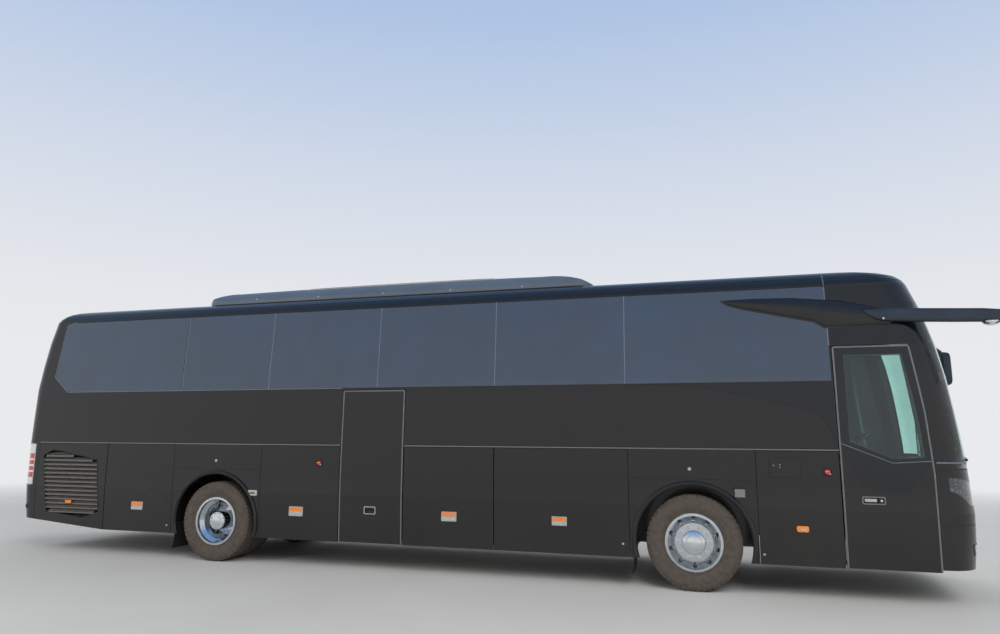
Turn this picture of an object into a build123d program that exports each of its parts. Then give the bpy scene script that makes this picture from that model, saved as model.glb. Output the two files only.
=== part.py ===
from build123d import *
from math import asin, atan2, cos, degrees, hypot, pi, sin, sqrt
import os

# A two-axle high-deck touring coach, in millimetres.
# X runs forward, Y to the left and Z up. The origin is on the ground, in the middle
# of the length over the mirrors and of the width.

# Overall sizes
WHEELBASE = 6090
FRONT_OVERHANG = 2850
REAR_OVERHANG = 3355
BODY_WIDTH = 2550
COACH_HEIGHT = 3680
MIRROR_REACH = 490

REAR_AXLE_X = REAR_OVERHANG - (REAR_OVERHANG + WHEELBASE + FRONT_OVERHANG + MIRROR_REACH) / 2
FRONT_AXLE_X = REAR_AXLE_X + WHEELBASE
TAIL_X = REAR_AXLE_X - REAR_OVERHANG
NOSE_X = FRONT_AXLE_X + FRONT_OVERHANG
HALF_WIDTH = BODY_WIDTH / 2

# Body shell
SIDE_OUT = HALF_WIDTH + 225
SIDE_IN = 500
TOP_OUT = 4000
WALL = 55
FLAP_WALL = 35
DOOR_WALL = 45
GLASS = 8
SEAL = 0.3
PANEL_GAP = 6
FLAP_GAP = 5
NOSE_CORNER = 350
TAIL_CORNER = 200
NOSE_BOW = 5000
SKIRT_Z = 330
BELT_Z = 1500
SILL_Z = 2228
RAIL_Z = 3283

# Each level of the body: height, tuck of each side, set-back of the nose, set-in of the tail
BODY_LEVELS = (
    (SKIRT_Z, 35, 45, 55),
    (600, 20, 14, 25),
    (900, 5, 0, 5),
    (1520, 0, 42, 0),
    (1900, 6.5, 86, 3),
    (2280, 13, 140, 10),
    (2620, 36, 204, 42),
    (2960, 58, 297, 92),
    (RAIL_Z, 80, 425, 170),
)
ROOF_LEVELS = (
    (RAIL_Z, 80, 425, 170),
    (3335, 103, 455, 200),
    (3380, 135, 505, 245),
    (3414, 175, 590, 300),
    (3440, 225, 705, 365),
    (3460, 290, 880, 470),
    (3475, 375, 1145, 655),
    (3485, 490, 1330, 780),
    (3492, 640, 1500, 900),
)
ROOF_WALL = 50

# Wheels
WHEEL_RADIUS = 510
TYRE_WIDTH = 296
RIM_RADIUS = 307
TWIN_SPACING = 335
STUD_CIRCLE = 335
FRONT_WHEEL_Y = HALF_WIDTH - 209
REAR_OUTER_Y = HALF_WIDTH - 183
REAR_INNER_Y = REAR_OUTER_Y - TWIN_SPACING
ARCH_RADIUS = WHEEL_RADIUS + 94
LINER_RADIUS = ARCH_RADIUS + 46
LINER_WALL = 10
KINGPIN_Y = FRONT_WHEEL_Y - 166
KINGPIN_RADIUS = 28
SPINDLE_RADIUS = 40
PIN_CLEARANCE = 0.3

# Panel lines along the sides
TAIL_PANEL_X = REAR_AXLE_X - 3054
GRILLE_FRONT_X = REAR_AXLE_X - 1815
REAR_ARCH_X = (REAR_AXLE_X - ARCH_RADIUS - 79, REAR_AXLE_X + ARCH_RADIUS + 69)
FRONT_ARCH_X = (FRONT_AXLE_X - ARCH_RADIUS - 74, FRONT_AXLE_X + ARCH_RADIUS + 62)
MID_DOOR_WIDTH = 868
MID_DOOR_X = REAR_AXLE_X + 0.37 * WHEELBASE
MID_DOOR_SPAN = (MID_DOOR_X - MID_DOOR_WIDTH / 2, MID_DOOR_X + MID_DOOR_WIDTH / 2)
BAY_SPLIT_X = REAR_AXLE_X + 0.631 * WHEELBASE
FRONT_DOOR_REAR_X = FRONT_AXLE_X + 1489
MID_DOOR_TOP = 2205
FRONT_DOOR_TOP = 2605

# Front edge of the front door, from the nose line: set-back, height
DOOR_EDGE = ((493, SKIRT_Z), (487, 1290), (521, 1903), (610, FRONT_DOOR_TOP))

# Side glass
GLASS_TOP = 3270
PILLAR = 110
WINDOW_FRAME = 50
REAR_GLASS_X = REAR_AXLE_X - 2943
FRONT_GLASS_X = FRONT_DOOR_REAR_X - 14

# Floors and frame
SALOON_FLOOR_Z = 1370
FLOOR_WALL = 40
BAY_FLOOR_Z = 420
DRIVER_FLOOR_Z = 900
STEP_Z = 400
RAIL_BOTTOM = 780
RAIL_HEIGHT = 160
RAIL_Y = HALF_WIDTH - 845
RAIL_WIDTH = 70
BULKHEAD = 30
CHASSIS_CLEARANCE = 12


def block(x0, x1, y0, y1, z0, z1):
    """Box between two corners."""
    centre = Pos((x0 + x1) / 2, (y0 + y1) / 2, (z0 + z1) / 2)
    return centre * Box(abs(x1 - x0), abs(y1 - y0), abs(z1 - z0))


def side_prism(points, y0, y1):
    """Outline in X and Z, carried across from y0 to y1."""
    face = make_face(Polyline(*[(x, 0, z) for x, z in points], close=True))
    return Pos(0, y0, 0) * extrude(face, y1 - y0, dir=(0, 1, 0))


def front_prism(points, x0, x1):
    """Outline in Y and Z, carried along from x0 to x1."""
    face = make_face(Polyline(*[(0, y, z) for y, z in points], close=True))
    return Pos(x0, 0, 0) * extrude(face, x1 - x0, dir=(1, 0, 0))


def cross_cylinder(x, y0, y1, z, radius):
    """Cylinder along Y."""
    return Pos(x, (y0 + y1) / 2, z) * Rot(90, 0, 0) * Cylinder(radius, abs(y1 - y0))


def one(shape):
    """The single solid of a result, or the compound when there are several."""
    solids = shape.solids()
    return solids[0] if len(solids) == 1 else Compound(children=list(solids))


def plan_outline(z, tuck, nose_set, tail_set, inset):
    """Plan of the body at one height: flat tail, round corners, straight sides, bowed nose."""
    half = HALF_WIDTH - tuck - inset
    nose = NOSE_X - nose_set - inset
    tail = TAIL_X + tail_set + inset
    nose_corner = NOSE_CORNER - inset
    tail_corner = TAIL_CORNER - inset
    bow = NOSE_BOW - inset
    centre = nose - bow
    swing = asin((half - nose_corner) / (bow - nose_corner))
    side_end = centre + (bow - nose_corner) * cos(swing)
    bow_end = (centre + bow * cos(swing), bow * sin(swing))
    middle = (swing + pi / 2) / 2
    diagonal = sqrt(0.5)
    edges = [ThreePointArc(bow_end, (nose, 0), (bow_end[0], -bow_end[1]))]
    for side in (1, -1):
        edges += [
            Line((tail, 0), (tail, side * (half - tail_corner))),
            ThreePointArc(
                (tail, side * (half - tail_corner)),
                (tail + tail_corner * (1 - diagonal), side * (half - tail_corner * (1 - diagonal))),
                (tail + tail_corner, side * half),
            ),
            Line((tail + tail_corner, side * half), (side_end, side * half)),
            ThreePointArc(
                (side_end, side * half),
                (
                    side_end + nose_corner * cos(middle),
                    side * (half - nose_corner + nose_corner * sin(middle)),
                ),
                (bow_end[0], side * bow_end[1]),
            ),
        ]
    return Plane.XY.offset(z) * make_face(edges)


def body_form(inset, levels=BODY_LEVELS):
    """The body's outer form, moved in all round by the inset."""
    return loft([plan_outline(*level, inset) for level in levels], ruled=True)


def save(shape, name):
    export_step(one(shape), f"parts/{name}.step")


os.makedirs("parts", exist_ok=True)

OUTER = body_form(0)
WALL_SHELL = OUTER - body_form(WALL)
FLAP_SHELL = OUTER - body_form(FLAP_WALL)
DOOR_SHELL = OUTER - body_form(DOOR_WALL)
GLASS_SHELL = OUTER - body_form(GLASS)
GLASS_RECESS = body_form(-5) - body_form(GLASS + SEAL)
INSIDE_WALL = body_form(WALL + SEAL)
INSIDE_FLAPS = body_form(FLAP_WALL + CHASSIS_CLEARANCE)

door_edge = [(NOSE_X - set_back, z) for set_back, z in DOOR_EDGE]
rail_edge_x = NOSE_X - 700
door_line = [*door_edge, (rail_edge_x, RAIL_Z)]
FAR = TOP_OUT + WHEELBASE


def behind_door_line(gap):
    """Everything behind the front edge of the front door, less a gap."""
    points = [(x - gap, z) for x, z in door_line]
    points = [(points[0][0], 0), *points, (points[-1][0], TOP_OUT), (-FAR, TOP_OUT), (-FAR, 0)]
    return side_prism(points, -SIDE_OUT, SIDE_OUT)


def side_zone(side, x0, x1, z0, z1):
    """Block over one side of the body."""
    return block(x0, x1, side * SIDE_IN, side * SIDE_OUT, z0, z1)


# The underside rises towards the tail
TAIL_RISE = side_prism(
    (
        (GRILLE_FRONT_X, SKIRT_Z - 100),
        (GRILLE_FRONT_X, SKIRT_Z),
        (TAIL_X - 50, SKIRT_Z + 130),
        (TAIL_X - 50, SKIRT_Z - 100),
    ),
    -SIDE_OUT,
    SIDE_OUT,
)


# Hinge rods of the flaps, along the edge of the panel above them
HINGE_RADIUS = 3
HINGE_DROP = 2.5
HINGE_Z = BELT_Z - HINGE_DROP


def belt_hinge(side, rear, front):
    """Rod at the skin line under the side wall, over one flap."""
    rod = Rot(0, 90, 0) * Cylinder(HINGE_RADIUS, front - rear - 2 * PANEL_GAP)
    return Pos((rear + front) / 2, side * HALF_WIDTH, HINGE_Z) * rod


bay_ends = (REAR_ARCH_X[1], *MID_DOOR_SPAN, BAY_SPLIT_X, FRONT_ARCH_X[0])
flap_spans = (
    ("right_luggage_flap_1", -1, bay_ends[0], bay_ends[1]),
    ("right_luggage_flap_2", -1, bay_ends[2], bay_ends[3]),
    ("right_luggage_flap_3", -1, bay_ends[3], bay_ends[4]),
    ("left_luggage_flap_1", 1, bay_ends[0], MID_DOOR_X),
    ("left_luggage_flap_2", 1, MID_DOOR_X, bay_ends[3]),
    ("left_luggage_flap_3", 1, bay_ends[3], bay_ends[4]),
    ("right_rear_service_flap", -1, GRILLE_FRONT_X, REAR_ARCH_X[0]),
    ("left_rear_service_flap", 1, GRILLE_FRONT_X, REAR_ARCH_X[0]),
    ("right_front_service_flap", -1, FRONT_ARCH_X[1], FRONT_DOOR_REAR_X),
    ("left_front_service_flap", 1, FRONT_ARCH_X[1], FRONT_DOOR_REAR_X),
    ("right_grille_door", -1, TAIL_PANEL_X, GRILLE_FRONT_X),
    ("left_grille_door", 1, TAIL_PANEL_X, GRILLE_FRONT_X),
)


# Side windows
window_lines = (
    REAR_GLASS_X,
    REAR_ARCH_X[0],
    REAR_ARCH_X[1] + 35,
    MID_DOOR_X + 36,
    BAY_SPLIT_X,
    FRONT_ARCH_X[0] - 15,
    FRONT_GLASS_X,
)
band_outline = (
    (REAR_GLASS_X, SILL_Z + 224),
    (REAR_GLASS_X + 276, SILL_Z),
    (FRONT_GLASS_X, SILL_Z),
    (FRONT_GLASS_X, GLASS_TOP),
    (REAR_GLASS_X + 250, GLASS_TOP),
    (REAR_GLASS_X + 71, GLASS_TOP - 35),
)


def window_cuts(side):
    """Recess for the glass band on one side, and the openings behind it."""
    low, high = sorted((side * SIDE_IN, side * SIDE_OUT))
    cut = GLASS_RECESS & side_prism(band_outline, low, high)
    for rear, front in zip(window_lines, window_lines[1:]):
        start = rear + (300 if rear == REAR_GLASS_X else PILLAR / 2)
        end = front - PILLAR / 2
        cut += side_zone(side, start, end, SILL_Z + WINDOW_FRAME, GLASS_TOP - WINDOW_FRAME)
    return cut


def window_panes(side):
    """Bonded panes of the glass band on one side."""
    low, high = sorted((side * SIDE_IN, side * SIDE_OUT))
    band = GLASS_SHELL & side_prism(band_outline, low, high)
    panes = []
    for rear, front in zip(window_lines, window_lines[1:]):
        panes += (band & side_zone(side, rear + 3, front - 3, SILL_Z, GLASS_TOP)).solids()
    return panes


# The driver's window, like the glass of the front door
door_glass_outline = (
    (FRONT_DOOR_REAR_X + 80, 1582),
    (FRONT_DOOR_REAR_X + 498, 1391),
    (NOSE_X - 545, 1417),
    (NOSE_X - 672, 2534),
    (FRONT_DOOR_REAR_X + 86, 2533),
)
door_glass_opening = (
    (FRONT_DOOR_REAR_X + 115, 1617),
    (FRONT_DOOR_REAR_X + 500, 1430),
    (NOSE_X - 585, 1455),
    (NOSE_X - 705, 2494),
    (FRONT_DOOR_REAR_X + 120, 2494),
)

LOWER_LEFT_PANEL = side_zone(1, FRONT_DOOR_REAR_X, NOSE_X, SKIRT_Z, BELT_Z)


def side_wall(side):
    """Upper wall of one side, from the belt to the roof."""
    wall = WALL_SHELL & side_zone(side, TAIL_PANEL_X, NOSE_X, BELT_Z, RAIL_Z)
    if side > 0:
        wall += WALL_SHELL & LOWER_LEFT_PANEL
    wall &= behind_door_line(0)
    for _, flap_side, rear, front in flap_spans:
        if flap_side == side:
            wall += belt_hinge(side, rear, front)
    wall -= window_cuts(side)
    if side > 0:
        wall -= GLASS_RECESS & side_prism(door_glass_outline, SIDE_IN, SIDE_OUT)
        wall -= side_prism(door_glass_opening, SIDE_IN, SIDE_OUT)
    else:
        wall -= side_zone(side, *MID_DOOR_SPAN, SKIRT_Z, MID_DOOR_TOP)
        wall -= side_zone(side, FRONT_DOOR_REAR_X, NOSE_X, SKIRT_Z, FRONT_DOOR_TOP)
    return wall


save(side_wall(-1), "right_side_wall")
save(side_wall(1), "left_side_wall")

driver_glass = GLASS_SHELL & side_prism(door_glass_outline, SIDE_IN, SIDE_OUT)
side_panes = [*window_panes(-1), *window_panes(1), *driver_glass.solids()]
save(Compound(children=side_panes), "side_windows")


# Panels over the wheels, each with its wheel-house liner
ARCH_FOOT = ARCH_RADIUS - 34


def arch_panel(side, axle_x, span, inner_y, pass_half, pass_top):
    """Panel with its wheel opening, the liner from the panel in to inner_y, and the inner wall
    with a passage for the axle."""
    panel = FLAP_SHELL & side_zone(side, *span, SKIRT_Z, BELT_Z)
    low_y, high_y = side * (inner_y - 60), side * SIDE_OUT
    panel -= cross_cylinder(axle_x, low_y, high_y, WHEEL_RADIUS, ARCH_RADIUS)
    panel -= block(axle_x - ARCH_FOOT, axle_x + ARCH_FOOT, low_y, high_y, 0, WHEEL_RADIUS)
    skin_y = side * (HALF_WIDTH - 25)
    liner = cross_cylinder(axle_x, side * inner_y, skin_y, WHEEL_RADIUS, LINER_RADIUS + LINER_WALL)
    liner -= cross_cylinder(axle_x, low_y, high_y, WHEEL_RADIUS, LINER_RADIUS)
    wall_y = side * (inner_y + LINER_WALL)
    wall = cross_cylinder(axle_x, side * inner_y, wall_y, WHEEL_RADIUS, LINER_RADIUS + LINER_WALL / 2)
    wall -= block(axle_x - pass_half, axle_x + pass_half, low_y, high_y, 0, pass_top)
    liner = (liner + wall) & block(*span, side * inner_y, high_y, SKIRT_Z + 70, BELT_Z)
    return panel + (liner & OUTER)


arches = []
for side in (-1, 1):
    for axle_x, span, inner_y, pass_half, pass_top in (
        (REAR_AXLE_X, REAR_ARCH_X, REAR_INNER_Y - 197, 115, WHEEL_RADIUS + 115),
        (FRONT_AXLE_X, FRONT_ARCH_X, FRONT_WHEEL_Y - 586, 150, RAIL_BOTTOM - 50),
    ):
        arches += arch_panel(side, axle_x, span, inner_y, pass_half, pass_top).solids()
save(Compound(children=arches), "arch_panels")


# Flaps hinged at their outer top edge
def side_flap(side, rear, front):
    """Plain flap between two panel lines."""
    flap = FLAP_SHELL & side_zone(side, rear + FLAP_GAP, front - FLAP_GAP, SKIRT_Z, BELT_Z - PANEL_GAP)
    return flap - TAIL_RISE


special_flaps = ("right_front_service_flap", "right_grille_door", "left_grille_door")
for name, side, rear, front in flap_spans:
    if name not in special_flaps:
        save(side_flap(side, rear, front), name)

# The flap behind the front door carries the small fuel flap
FUEL_FLAP = (FRONT_ARCH_X[1] + 135, FRONT_ARCH_X[1] + 443, 1223, 1423)
FUEL_FLAP_WALL = 12
service_flap = side_flap(-1, FRONT_ARCH_X[1], FRONT_DOOR_REAR_X)
fuel_x0, fuel_x1, fuel_z0, fuel_z1 = FUEL_FLAP
service_flap -= side_zone(-1, fuel_x0 - 5, fuel_x1 + 5, fuel_z0 - 5, fuel_z1 + 5)
fuel_pan = (body_form(FUEL_FLAP_WALL + 6) - body_form(FLAP_WALL)) & side_zone(
    -1, fuel_x0 - 5, fuel_x1 + 5, fuel_z0 - 5, fuel_z1 + 5
)
fuel_hinge_y = 1.6 - HALF_WIDTH
fuel_hinge = Pos(fuel_x1 + 3, fuel_hinge_y, (fuel_z0 + fuel_z1) / 2) * Cylinder(2.5, fuel_z1 - fuel_z0)
save(service_flap + fuel_pan + fuel_hinge, "right_front_service_flap")
fuel_flap = (OUTER - body_form(FUEL_FLAP_WALL)) & side_zone(-1, fuel_x0, fuel_x1, fuel_z0, fuel_z1)
save(fuel_flap, "fuel_flap")

# Louvred doors of the engine bay
SLAT_COUNT = 16
SLAT_WALL = 6
SLAT_TILT = 35
grille_outline = tuple(
    (REAR_AXLE_X + x, z)
    for x, z in (
        (-2963, 1337),
        (-2783, 1419),
        (-1990, 1283),
        (-1904, 560),
        (-2172, 472),
        (-2839, 540),
    )
)


def grille_door(side):
    """Flap with a chamfered opening filled by slanted slats."""
    door = side_flap(side, TAIL_PANEL_X, GRILLE_FRONT_X)
    low, high = sorted((side * SIDE_IN, side * SIDE_OUT))
    opening = side_prism(grille_outline, low, high)
    low_z = min(z for _, z in grille_outline)
    high_z = max(z for _, z in grille_outline)
    pitch = (high_z - low_z) / SLAT_COUNT
    middle_x = (TAIL_PANEL_X + GRILLE_FRONT_X) / 2
    slats = []
    for index in range(SLAT_COUNT):
        z = low_z + (index + 0.5) * pitch
        slat = Box(GRILLE_FRONT_X - TAIL_PANEL_X - 40, 60, SLAT_WALL)
        slats.append(Pos(middle_x, side * (HALF_WIDTH - 20), z) * Rot(side * SLAT_TILT, 0, 0) * slat)
    blades = (FLAP_SHELL & opening) & Compound(children=slats)
    return (door - opening) + blades


save(grille_door(-1), "right_grille_door")
save(grille_door(1), "left_grille_door")


# Front end: mask with the windscreen opening, bumper and lamps
BUMPER_SPLIT_Z = 790
SCREEN_BOTTOM = 1345
SCREEN_TOP = 3040


def trapezium(low_set, low, high_set, high):
    """Outline in Y and Z with its lower and upper corners set in from the body's sides."""
    low_y, high_y = HALF_WIDTH - low_set, HALF_WIDTH - high_set
    return (-low_y, low), (low_y, low), (high_y, high), (-high_y, high)


screen_outline = trapezium(53, SCREEN_BOTTOM, 127, SCREEN_TOP)
screen_opening = trapezium(125, SCREEN_BOTTOM + 60, 195, SCREEN_TOP - 60)
FRONT_ZONE = block(0, FAR, -SIDE_OUT, SIDE_OUT, 0, TOP_OUT) - behind_door_line(0)

# Outlines of the lamps: set-in from the body's side, height
HEADLAMP = ((515, 930), (125, 985), (13, 1120), (13, 1250), (155, 1215), (515, 1080))
FOG_LAMP = ((425, 500), (195, 500), (155, 600), (425, 600))
TAIL_LAMP = ((190, 916), (-25, 916), (-25, 1483), (125, 1483))
LAMP_WALL = 50
LAMP_REAR_X = NOSE_X - 420


def from_side(points, side):
    return [(side * (HALF_WIDTH - set_in), z) for set_in, z in points]


def lamp(points, side, x0, x1):
    """Lamp flush with the body, from its outline seen from the end."""
    shell = OUTER - body_form(LAMP_WALL)
    return shell & front_prism(from_side(points, side), x0, x1)


screen_low, screen_high = NOSE_X - 800, NOSE_X + 100
mask = (WALL_SHELL & FRONT_ZONE) & block(0, FAR, -SIDE_OUT, SIDE_OUT, BUMPER_SPLIT_Z, RAIL_Z)
mask -= GLASS_RECESS & front_prism(screen_outline, screen_low, screen_high)
mask -= front_prism(screen_opening, screen_low, screen_high)
bumper = (WALL_SHELL & FRONT_ZONE) & block(0, FAR, -SIDE_OUT, SIDE_OUT, SKIRT_Z + 30, BUMPER_SPLIT_Z)
lamps = []
for side in (-1, 1):
    mask -= front_prism(from_side(HEADLAMP, side), LAMP_REAR_X, screen_high)
    bumper -= front_prism(from_side(FOG_LAMP, side), LAMP_REAR_X, screen_high)
    lamps += lamp(HEADLAMP, side, LAMP_REAR_X, screen_high).solids()
    lamps += lamp(FOG_LAMP, side, LAMP_REAR_X, screen_high).solids()
save(GLASS_SHELL & front_prism(screen_outline, screen_low, screen_high), "windscreen")


# Tail end: panel with its window, engine lid and lamps
LID_SPAN = HALF_WIDTH - 335
LID_BOTTOM = 800
LID_TOP = 2050
REAR_GLASS = trapezium(275, 2330, 345, 3130)
REAR_OPENING = trapezium(335, 2390, 400, 3075)
TAIL_ZONE = block(TAIL_X - 100, TAIL_PANEL_X, -SIDE_OUT, SIDE_OUT, 0, TOP_OUT)
tail = (WALL_SHELL & TAIL_ZONE) - TAIL_RISE
tail -= GLASS_RECESS & front_prism(REAR_GLASS, TAIL_X - 100, TAIL_X + 400)
tail -= front_prism(REAR_OPENING, TAIL_X - 100, TAIL_X + 400)
tail -= block(TAIL_X - 100, TAIL_X + 150, -LID_SPAN, LID_SPAN, LID_BOTTOM, LID_TOP)
for side in (-1, 1):
    tail -= front_prism(from_side(TAIL_LAMP, side), TAIL_X - 100, TAIL_X + 230)
    lamps += lamp(TAIL_LAMP, side, TAIL_X - 100, TAIL_X + 230 - SEAL).solids()
save(Compound(children=lamps), "lamps")
save(GLASS_SHELL & front_prism(REAR_GLASS, TAIL_X - 100, TAIL_X + 400), "rear_window")
lid_zone = block(
    TAIL_X - 100,
    TAIL_X + 150,
    -LID_SPAN + PANEL_GAP,
    LID_SPAN - PANEL_GAP,
    LID_BOTTOM + PANEL_GAP,
    LID_TOP - PANEL_GAP,
)
save(FLAP_SHELL & lid_zone, "engine_lid")
LID_HINGE_X = TAIL_X + 5.6
tail += cross_cylinder(LID_HINGE_X, 10 - LID_SPAN, LID_SPAN - 10, LID_TOP - HINGE_DROP, HINGE_RADIUS)


# Roof and its ceiling
def ceiling_levels():
    top = ROOF_LEVELS[-1][0]
    squeeze = (top - ROOF_WALL - RAIL_Z) / (top - RAIL_Z)
    return [(RAIL_Z + (z - RAIL_Z) * squeeze, *rest) for z, *rest in ROOF_LEVELS]


ROOF_FORM = body_form(0, ROOF_LEVELS)
CEILING_FORM = body_form(ROOF_WALL, ceiling_levels())
save(ROOF_FORM - CEILING_FORM, "roof")

# Air-conditioner pod on the roof, from its side, end and plan outlines
POD_REAR_X = REAR_AXLE_X - 690
POD_FRONT_X = REAR_AXLE_X + 5040
POD_HALF = HALF_WIDTH - 315
POD_BASE = 3440
POD_CROWN = (POD_REAR_X + 560, POD_FRONT_X - 700)
CROWN_DROP = 36
pod_side = make_face(
    [
        Line((POD_REAR_X, 0, POD_BASE), (POD_FRONT_X, 0, POD_BASE)),
        Line((POD_FRONT_X, 0, POD_BASE), (POD_FRONT_X, 0, POD_BASE + 30)),
        ThreePointArc(
            (POD_FRONT_X, 0, POD_BASE + 30),
            (POD_FRONT_X - 260, 0, COACH_HEIGHT - 90),
            (POD_CROWN[1], 0, COACH_HEIGHT - CROWN_DROP),
        ),
        ThreePointArc(
            (POD_CROWN[1], 0, COACH_HEIGHT - CROWN_DROP),
            ((POD_CROWN[0] + POD_CROWN[1]) / 2, 0, COACH_HEIGHT),
            (POD_CROWN[0], 0, COACH_HEIGHT - CROWN_DROP),
        ),
        ThreePointArc(
            (POD_CROWN[0], 0, COACH_HEIGHT - CROWN_DROP),
            (POD_REAR_X + 190, 0, COACH_HEIGHT - 90),
            (POD_REAR_X, 0, POD_BASE + 30),
        ),
        Line((POD_REAR_X, 0, POD_BASE + 30), (POD_REAR_X, 0, POD_BASE)),
    ]
)
END_HALF = POD_HALF + 15
SHOULDER = 275
END_TOP = COACH_HEIGHT + 10
pod_end = make_face(
    [
        Line((0, -END_HALF, POD_BASE), (0, END_HALF, POD_BASE)),
        Line((0, END_HALF, POD_BASE), (0, END_HALF, POD_BASE + 60)),
        ThreePointArc(
            (0, END_HALF, POD_BASE + 60),
            (0, END_HALF - 85, COACH_HEIGHT - 75),
            (0, END_HALF - SHOULDER, END_TOP),
        ),
        Line((0, END_HALF - SHOULDER, END_TOP), (0, SHOULDER - END_HALF, END_TOP)),
        ThreePointArc(
            (0, SHOULDER - END_HALF, END_TOP),
            (0, 85 - END_HALF, COACH_HEIGHT - 75),
            (0, -END_HALF, POD_BASE + 60),
        ),
        Line((0, -END_HALF, POD_BASE + 60), (0, -END_HALF, POD_BASE)),
    ]
)
POD_CORNER = 330
pod_length = POD_FRONT_X - POD_REAR_X
pod = Pos(0, -END_HALF, 0) * extrude(pod_side, 2 * END_HALF, dir=(0, 1, 0))
pod &= Pos(POD_REAR_X, 0, 0) * extrude(pod_end, pod_length, dir=(1, 0, 0))
pod_plan = Pos((POD_REAR_X + POD_FRONT_X) / 2, 0, POD_BASE) * extrude(
    RectangleRounded(pod_length + 40, 2 * POD_HALF, POD_CORNER), 400
)
POD_SEAT = Pos(0, 0, SEAL) * ROOF_FORM
save((pod & pod_plan) - POD_SEAT, "aircon_unit")


# Saloon floor with the driver's floor and the two stairwells
STEP_INNER_Y = HALF_WIDTH - 715
STEP_OUTER_Y = HALF_WIDTH - 80
TREAD_DEPTH = 120
FRONT_STEP_X = (FRONT_DOOR_REAR_X, NOSE_X - 560)
SALOON_FRONT_X = FRONT_DOOR_REAR_X - 260
floor_z0 = SALOON_FLOOR_Z - FLOOR_WALL
floor = block(TAIL_X, SALOON_FRONT_X, -SIDE_OUT, SIDE_OUT, floor_z0, SALOON_FLOOR_Z)
floor -= block(*MID_DOOR_SPAN, -SIDE_OUT, -STEP_INNER_Y, 0, SALOON_FLOOR_Z + 1)
driver_z0 = DRIVER_FLOOR_Z - FLOOR_WALL
floor += block(SALOON_FRONT_X - FLOOR_WALL, SALOON_FRONT_X, -SIDE_OUT, SIDE_OUT, driver_z0, SALOON_FLOOR_Z)
floor += block(SALOON_FRONT_X - FLOOR_WALL, NOSE_X, -SIDE_OUT, SIDE_OUT, driver_z0, DRIVER_FLOOR_Z)
floor -= block(FRONT_DOOR_REAR_X, NOSE_X, -SIDE_OUT, -STEP_INNER_Y, driver_z0 - 1, DRIVER_FLOOR_Z + 1)


def stairwell(x0, x1, top_z, steps):
    """Steps rising inwards from the door, with side cheeks and a back wall."""
    well = block(x0, x1, -STEP_OUTER_Y, -STEP_INNER_Y, STEP_Z - FLOOR_WALL, STEP_Z)
    rise = (top_z - STEP_Z) / steps
    depth = (STEP_OUTER_Y - STEP_INNER_Y - TREAD_DEPTH) / (steps - 1)
    for index in range(1, steps):
        y1 = -STEP_OUTER_Y + TREAD_DEPTH + (index - 1) * depth
        z = STEP_Z + index * rise
        well += block(x0, x1, y1, -STEP_INNER_Y, z - FLOOR_WALL, z)
        well += block(x0, x1, y1, y1 + 20, z - rise - 20, z)
    well += block(x0, x1, -STEP_INNER_Y - 20, -STEP_INNER_Y, STEP_Z - FLOOR_WALL, top_z)
    return well


floor += stairwell(*MID_DOOR_SPAN, SALOON_FLOOR_Z, 4)
floor += stairwell(*FRONT_STEP_X, DRIVER_FLOOR_Z, 3)
floor &= INSIDE_WALL
save(floor, "saloon_floor")


# Luggage bays between the axles: floor panels, and bulkheads that stand on them
bay_z0 = BAY_FLOOR_Z - FLOOR_WALL
frame_top = floor_z0
bay_floor = []
for rear, front, right in (
    (REAR_ARCH_X[1], MID_DOOR_SPAN[0], -SIDE_OUT),
    (MID_DOOR_SPAN[0] + SEAL, MID_DOOR_SPAN[1] - SEAL, -STEP_INNER_Y),
    (MID_DOOR_SPAN[1], FRONT_ARCH_X[0], -SIDE_OUT),
):
    bay_floor += (block(rear, front, right, SIDE_OUT, bay_z0, BAY_FLOOR_Z) & INSIDE_FLAPS).solids()
save(Compound(children=bay_floor), "luggage_floor")
bulkheads = []
for x, left in (
    (REAR_ARCH_X[1] + BULKHEAD / 2, SIDE_OUT),
    (BAY_SPLIT_X, SIDE_OUT),
    (FRONT_ARCH_X[0] - BULKHEAD / 2, SIDE_OUT),
    (MID_DOOR_SPAN[0] - BULKHEAD / 2, -STEP_INNER_Y),
    (MID_DOOR_SPAN[1] + BULKHEAD / 2, -STEP_INNER_Y),
):
    plate = block(x - BULKHEAD / 2, x + BULKHEAD / 2, -SIDE_OUT, left, BAY_FLOOR_Z, frame_top)
    bulkheads += (plate & INSIDE_FLAPS).solids()
save(Compound(children=bulkheads), "bulkheads")

# Underframe: rails behind and ahead of the bays, with their posts and cross members
FRONT_BEAM_X = NOSE_X - 330
TAIL_BEAM_X = TAIL_X + 260
RAIL_SPANS = ((TAIL_BEAM_X, REAR_ARCH_X[1]), (FRONT_ARCH_X[0], FRONT_BEAM_X))
rail_top = RAIL_BOTTOM + RAIL_HEIGHT
FRONT_RAIL_BOTTOM = RAIL_BOTTOM - 80
rails = []
for side in (-1, 1):
    rail_inner = side * (RAIL_Y - RAIL_WIDTH / 2)
    rail_outer = side * (RAIL_Y + RAIL_WIDTH / 2)
    rails.append(block(*RAIL_SPANS[0], rail_inner, rail_outer, RAIL_BOTTOM, rail_top))
    rails.append(block(*RAIL_SPANS[1], rail_inner, rail_outer, FRONT_RAIL_BOTTOM, driver_z0))
    for x in (GRILLE_FRONT_X, REAR_ARCH_X[0], FRONT_ARCH_X[1]):
        rails.append(block(x - 25, x + 25, rail_inner, rail_outer, RAIL_BOTTOM, frame_top))
underframe = rails[0]
for rail in rails[1:]:
    underframe += rail
for x in (REAR_ARCH_X[0], FRONT_ARCH_X[1]):
    underframe += block(x - 25, x + 25, -RAIL_Y, RAIL_Y, RAIL_BOTTOM - 40, RAIL_BOTTOM + 40)
BEAM_Z = 560
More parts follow.
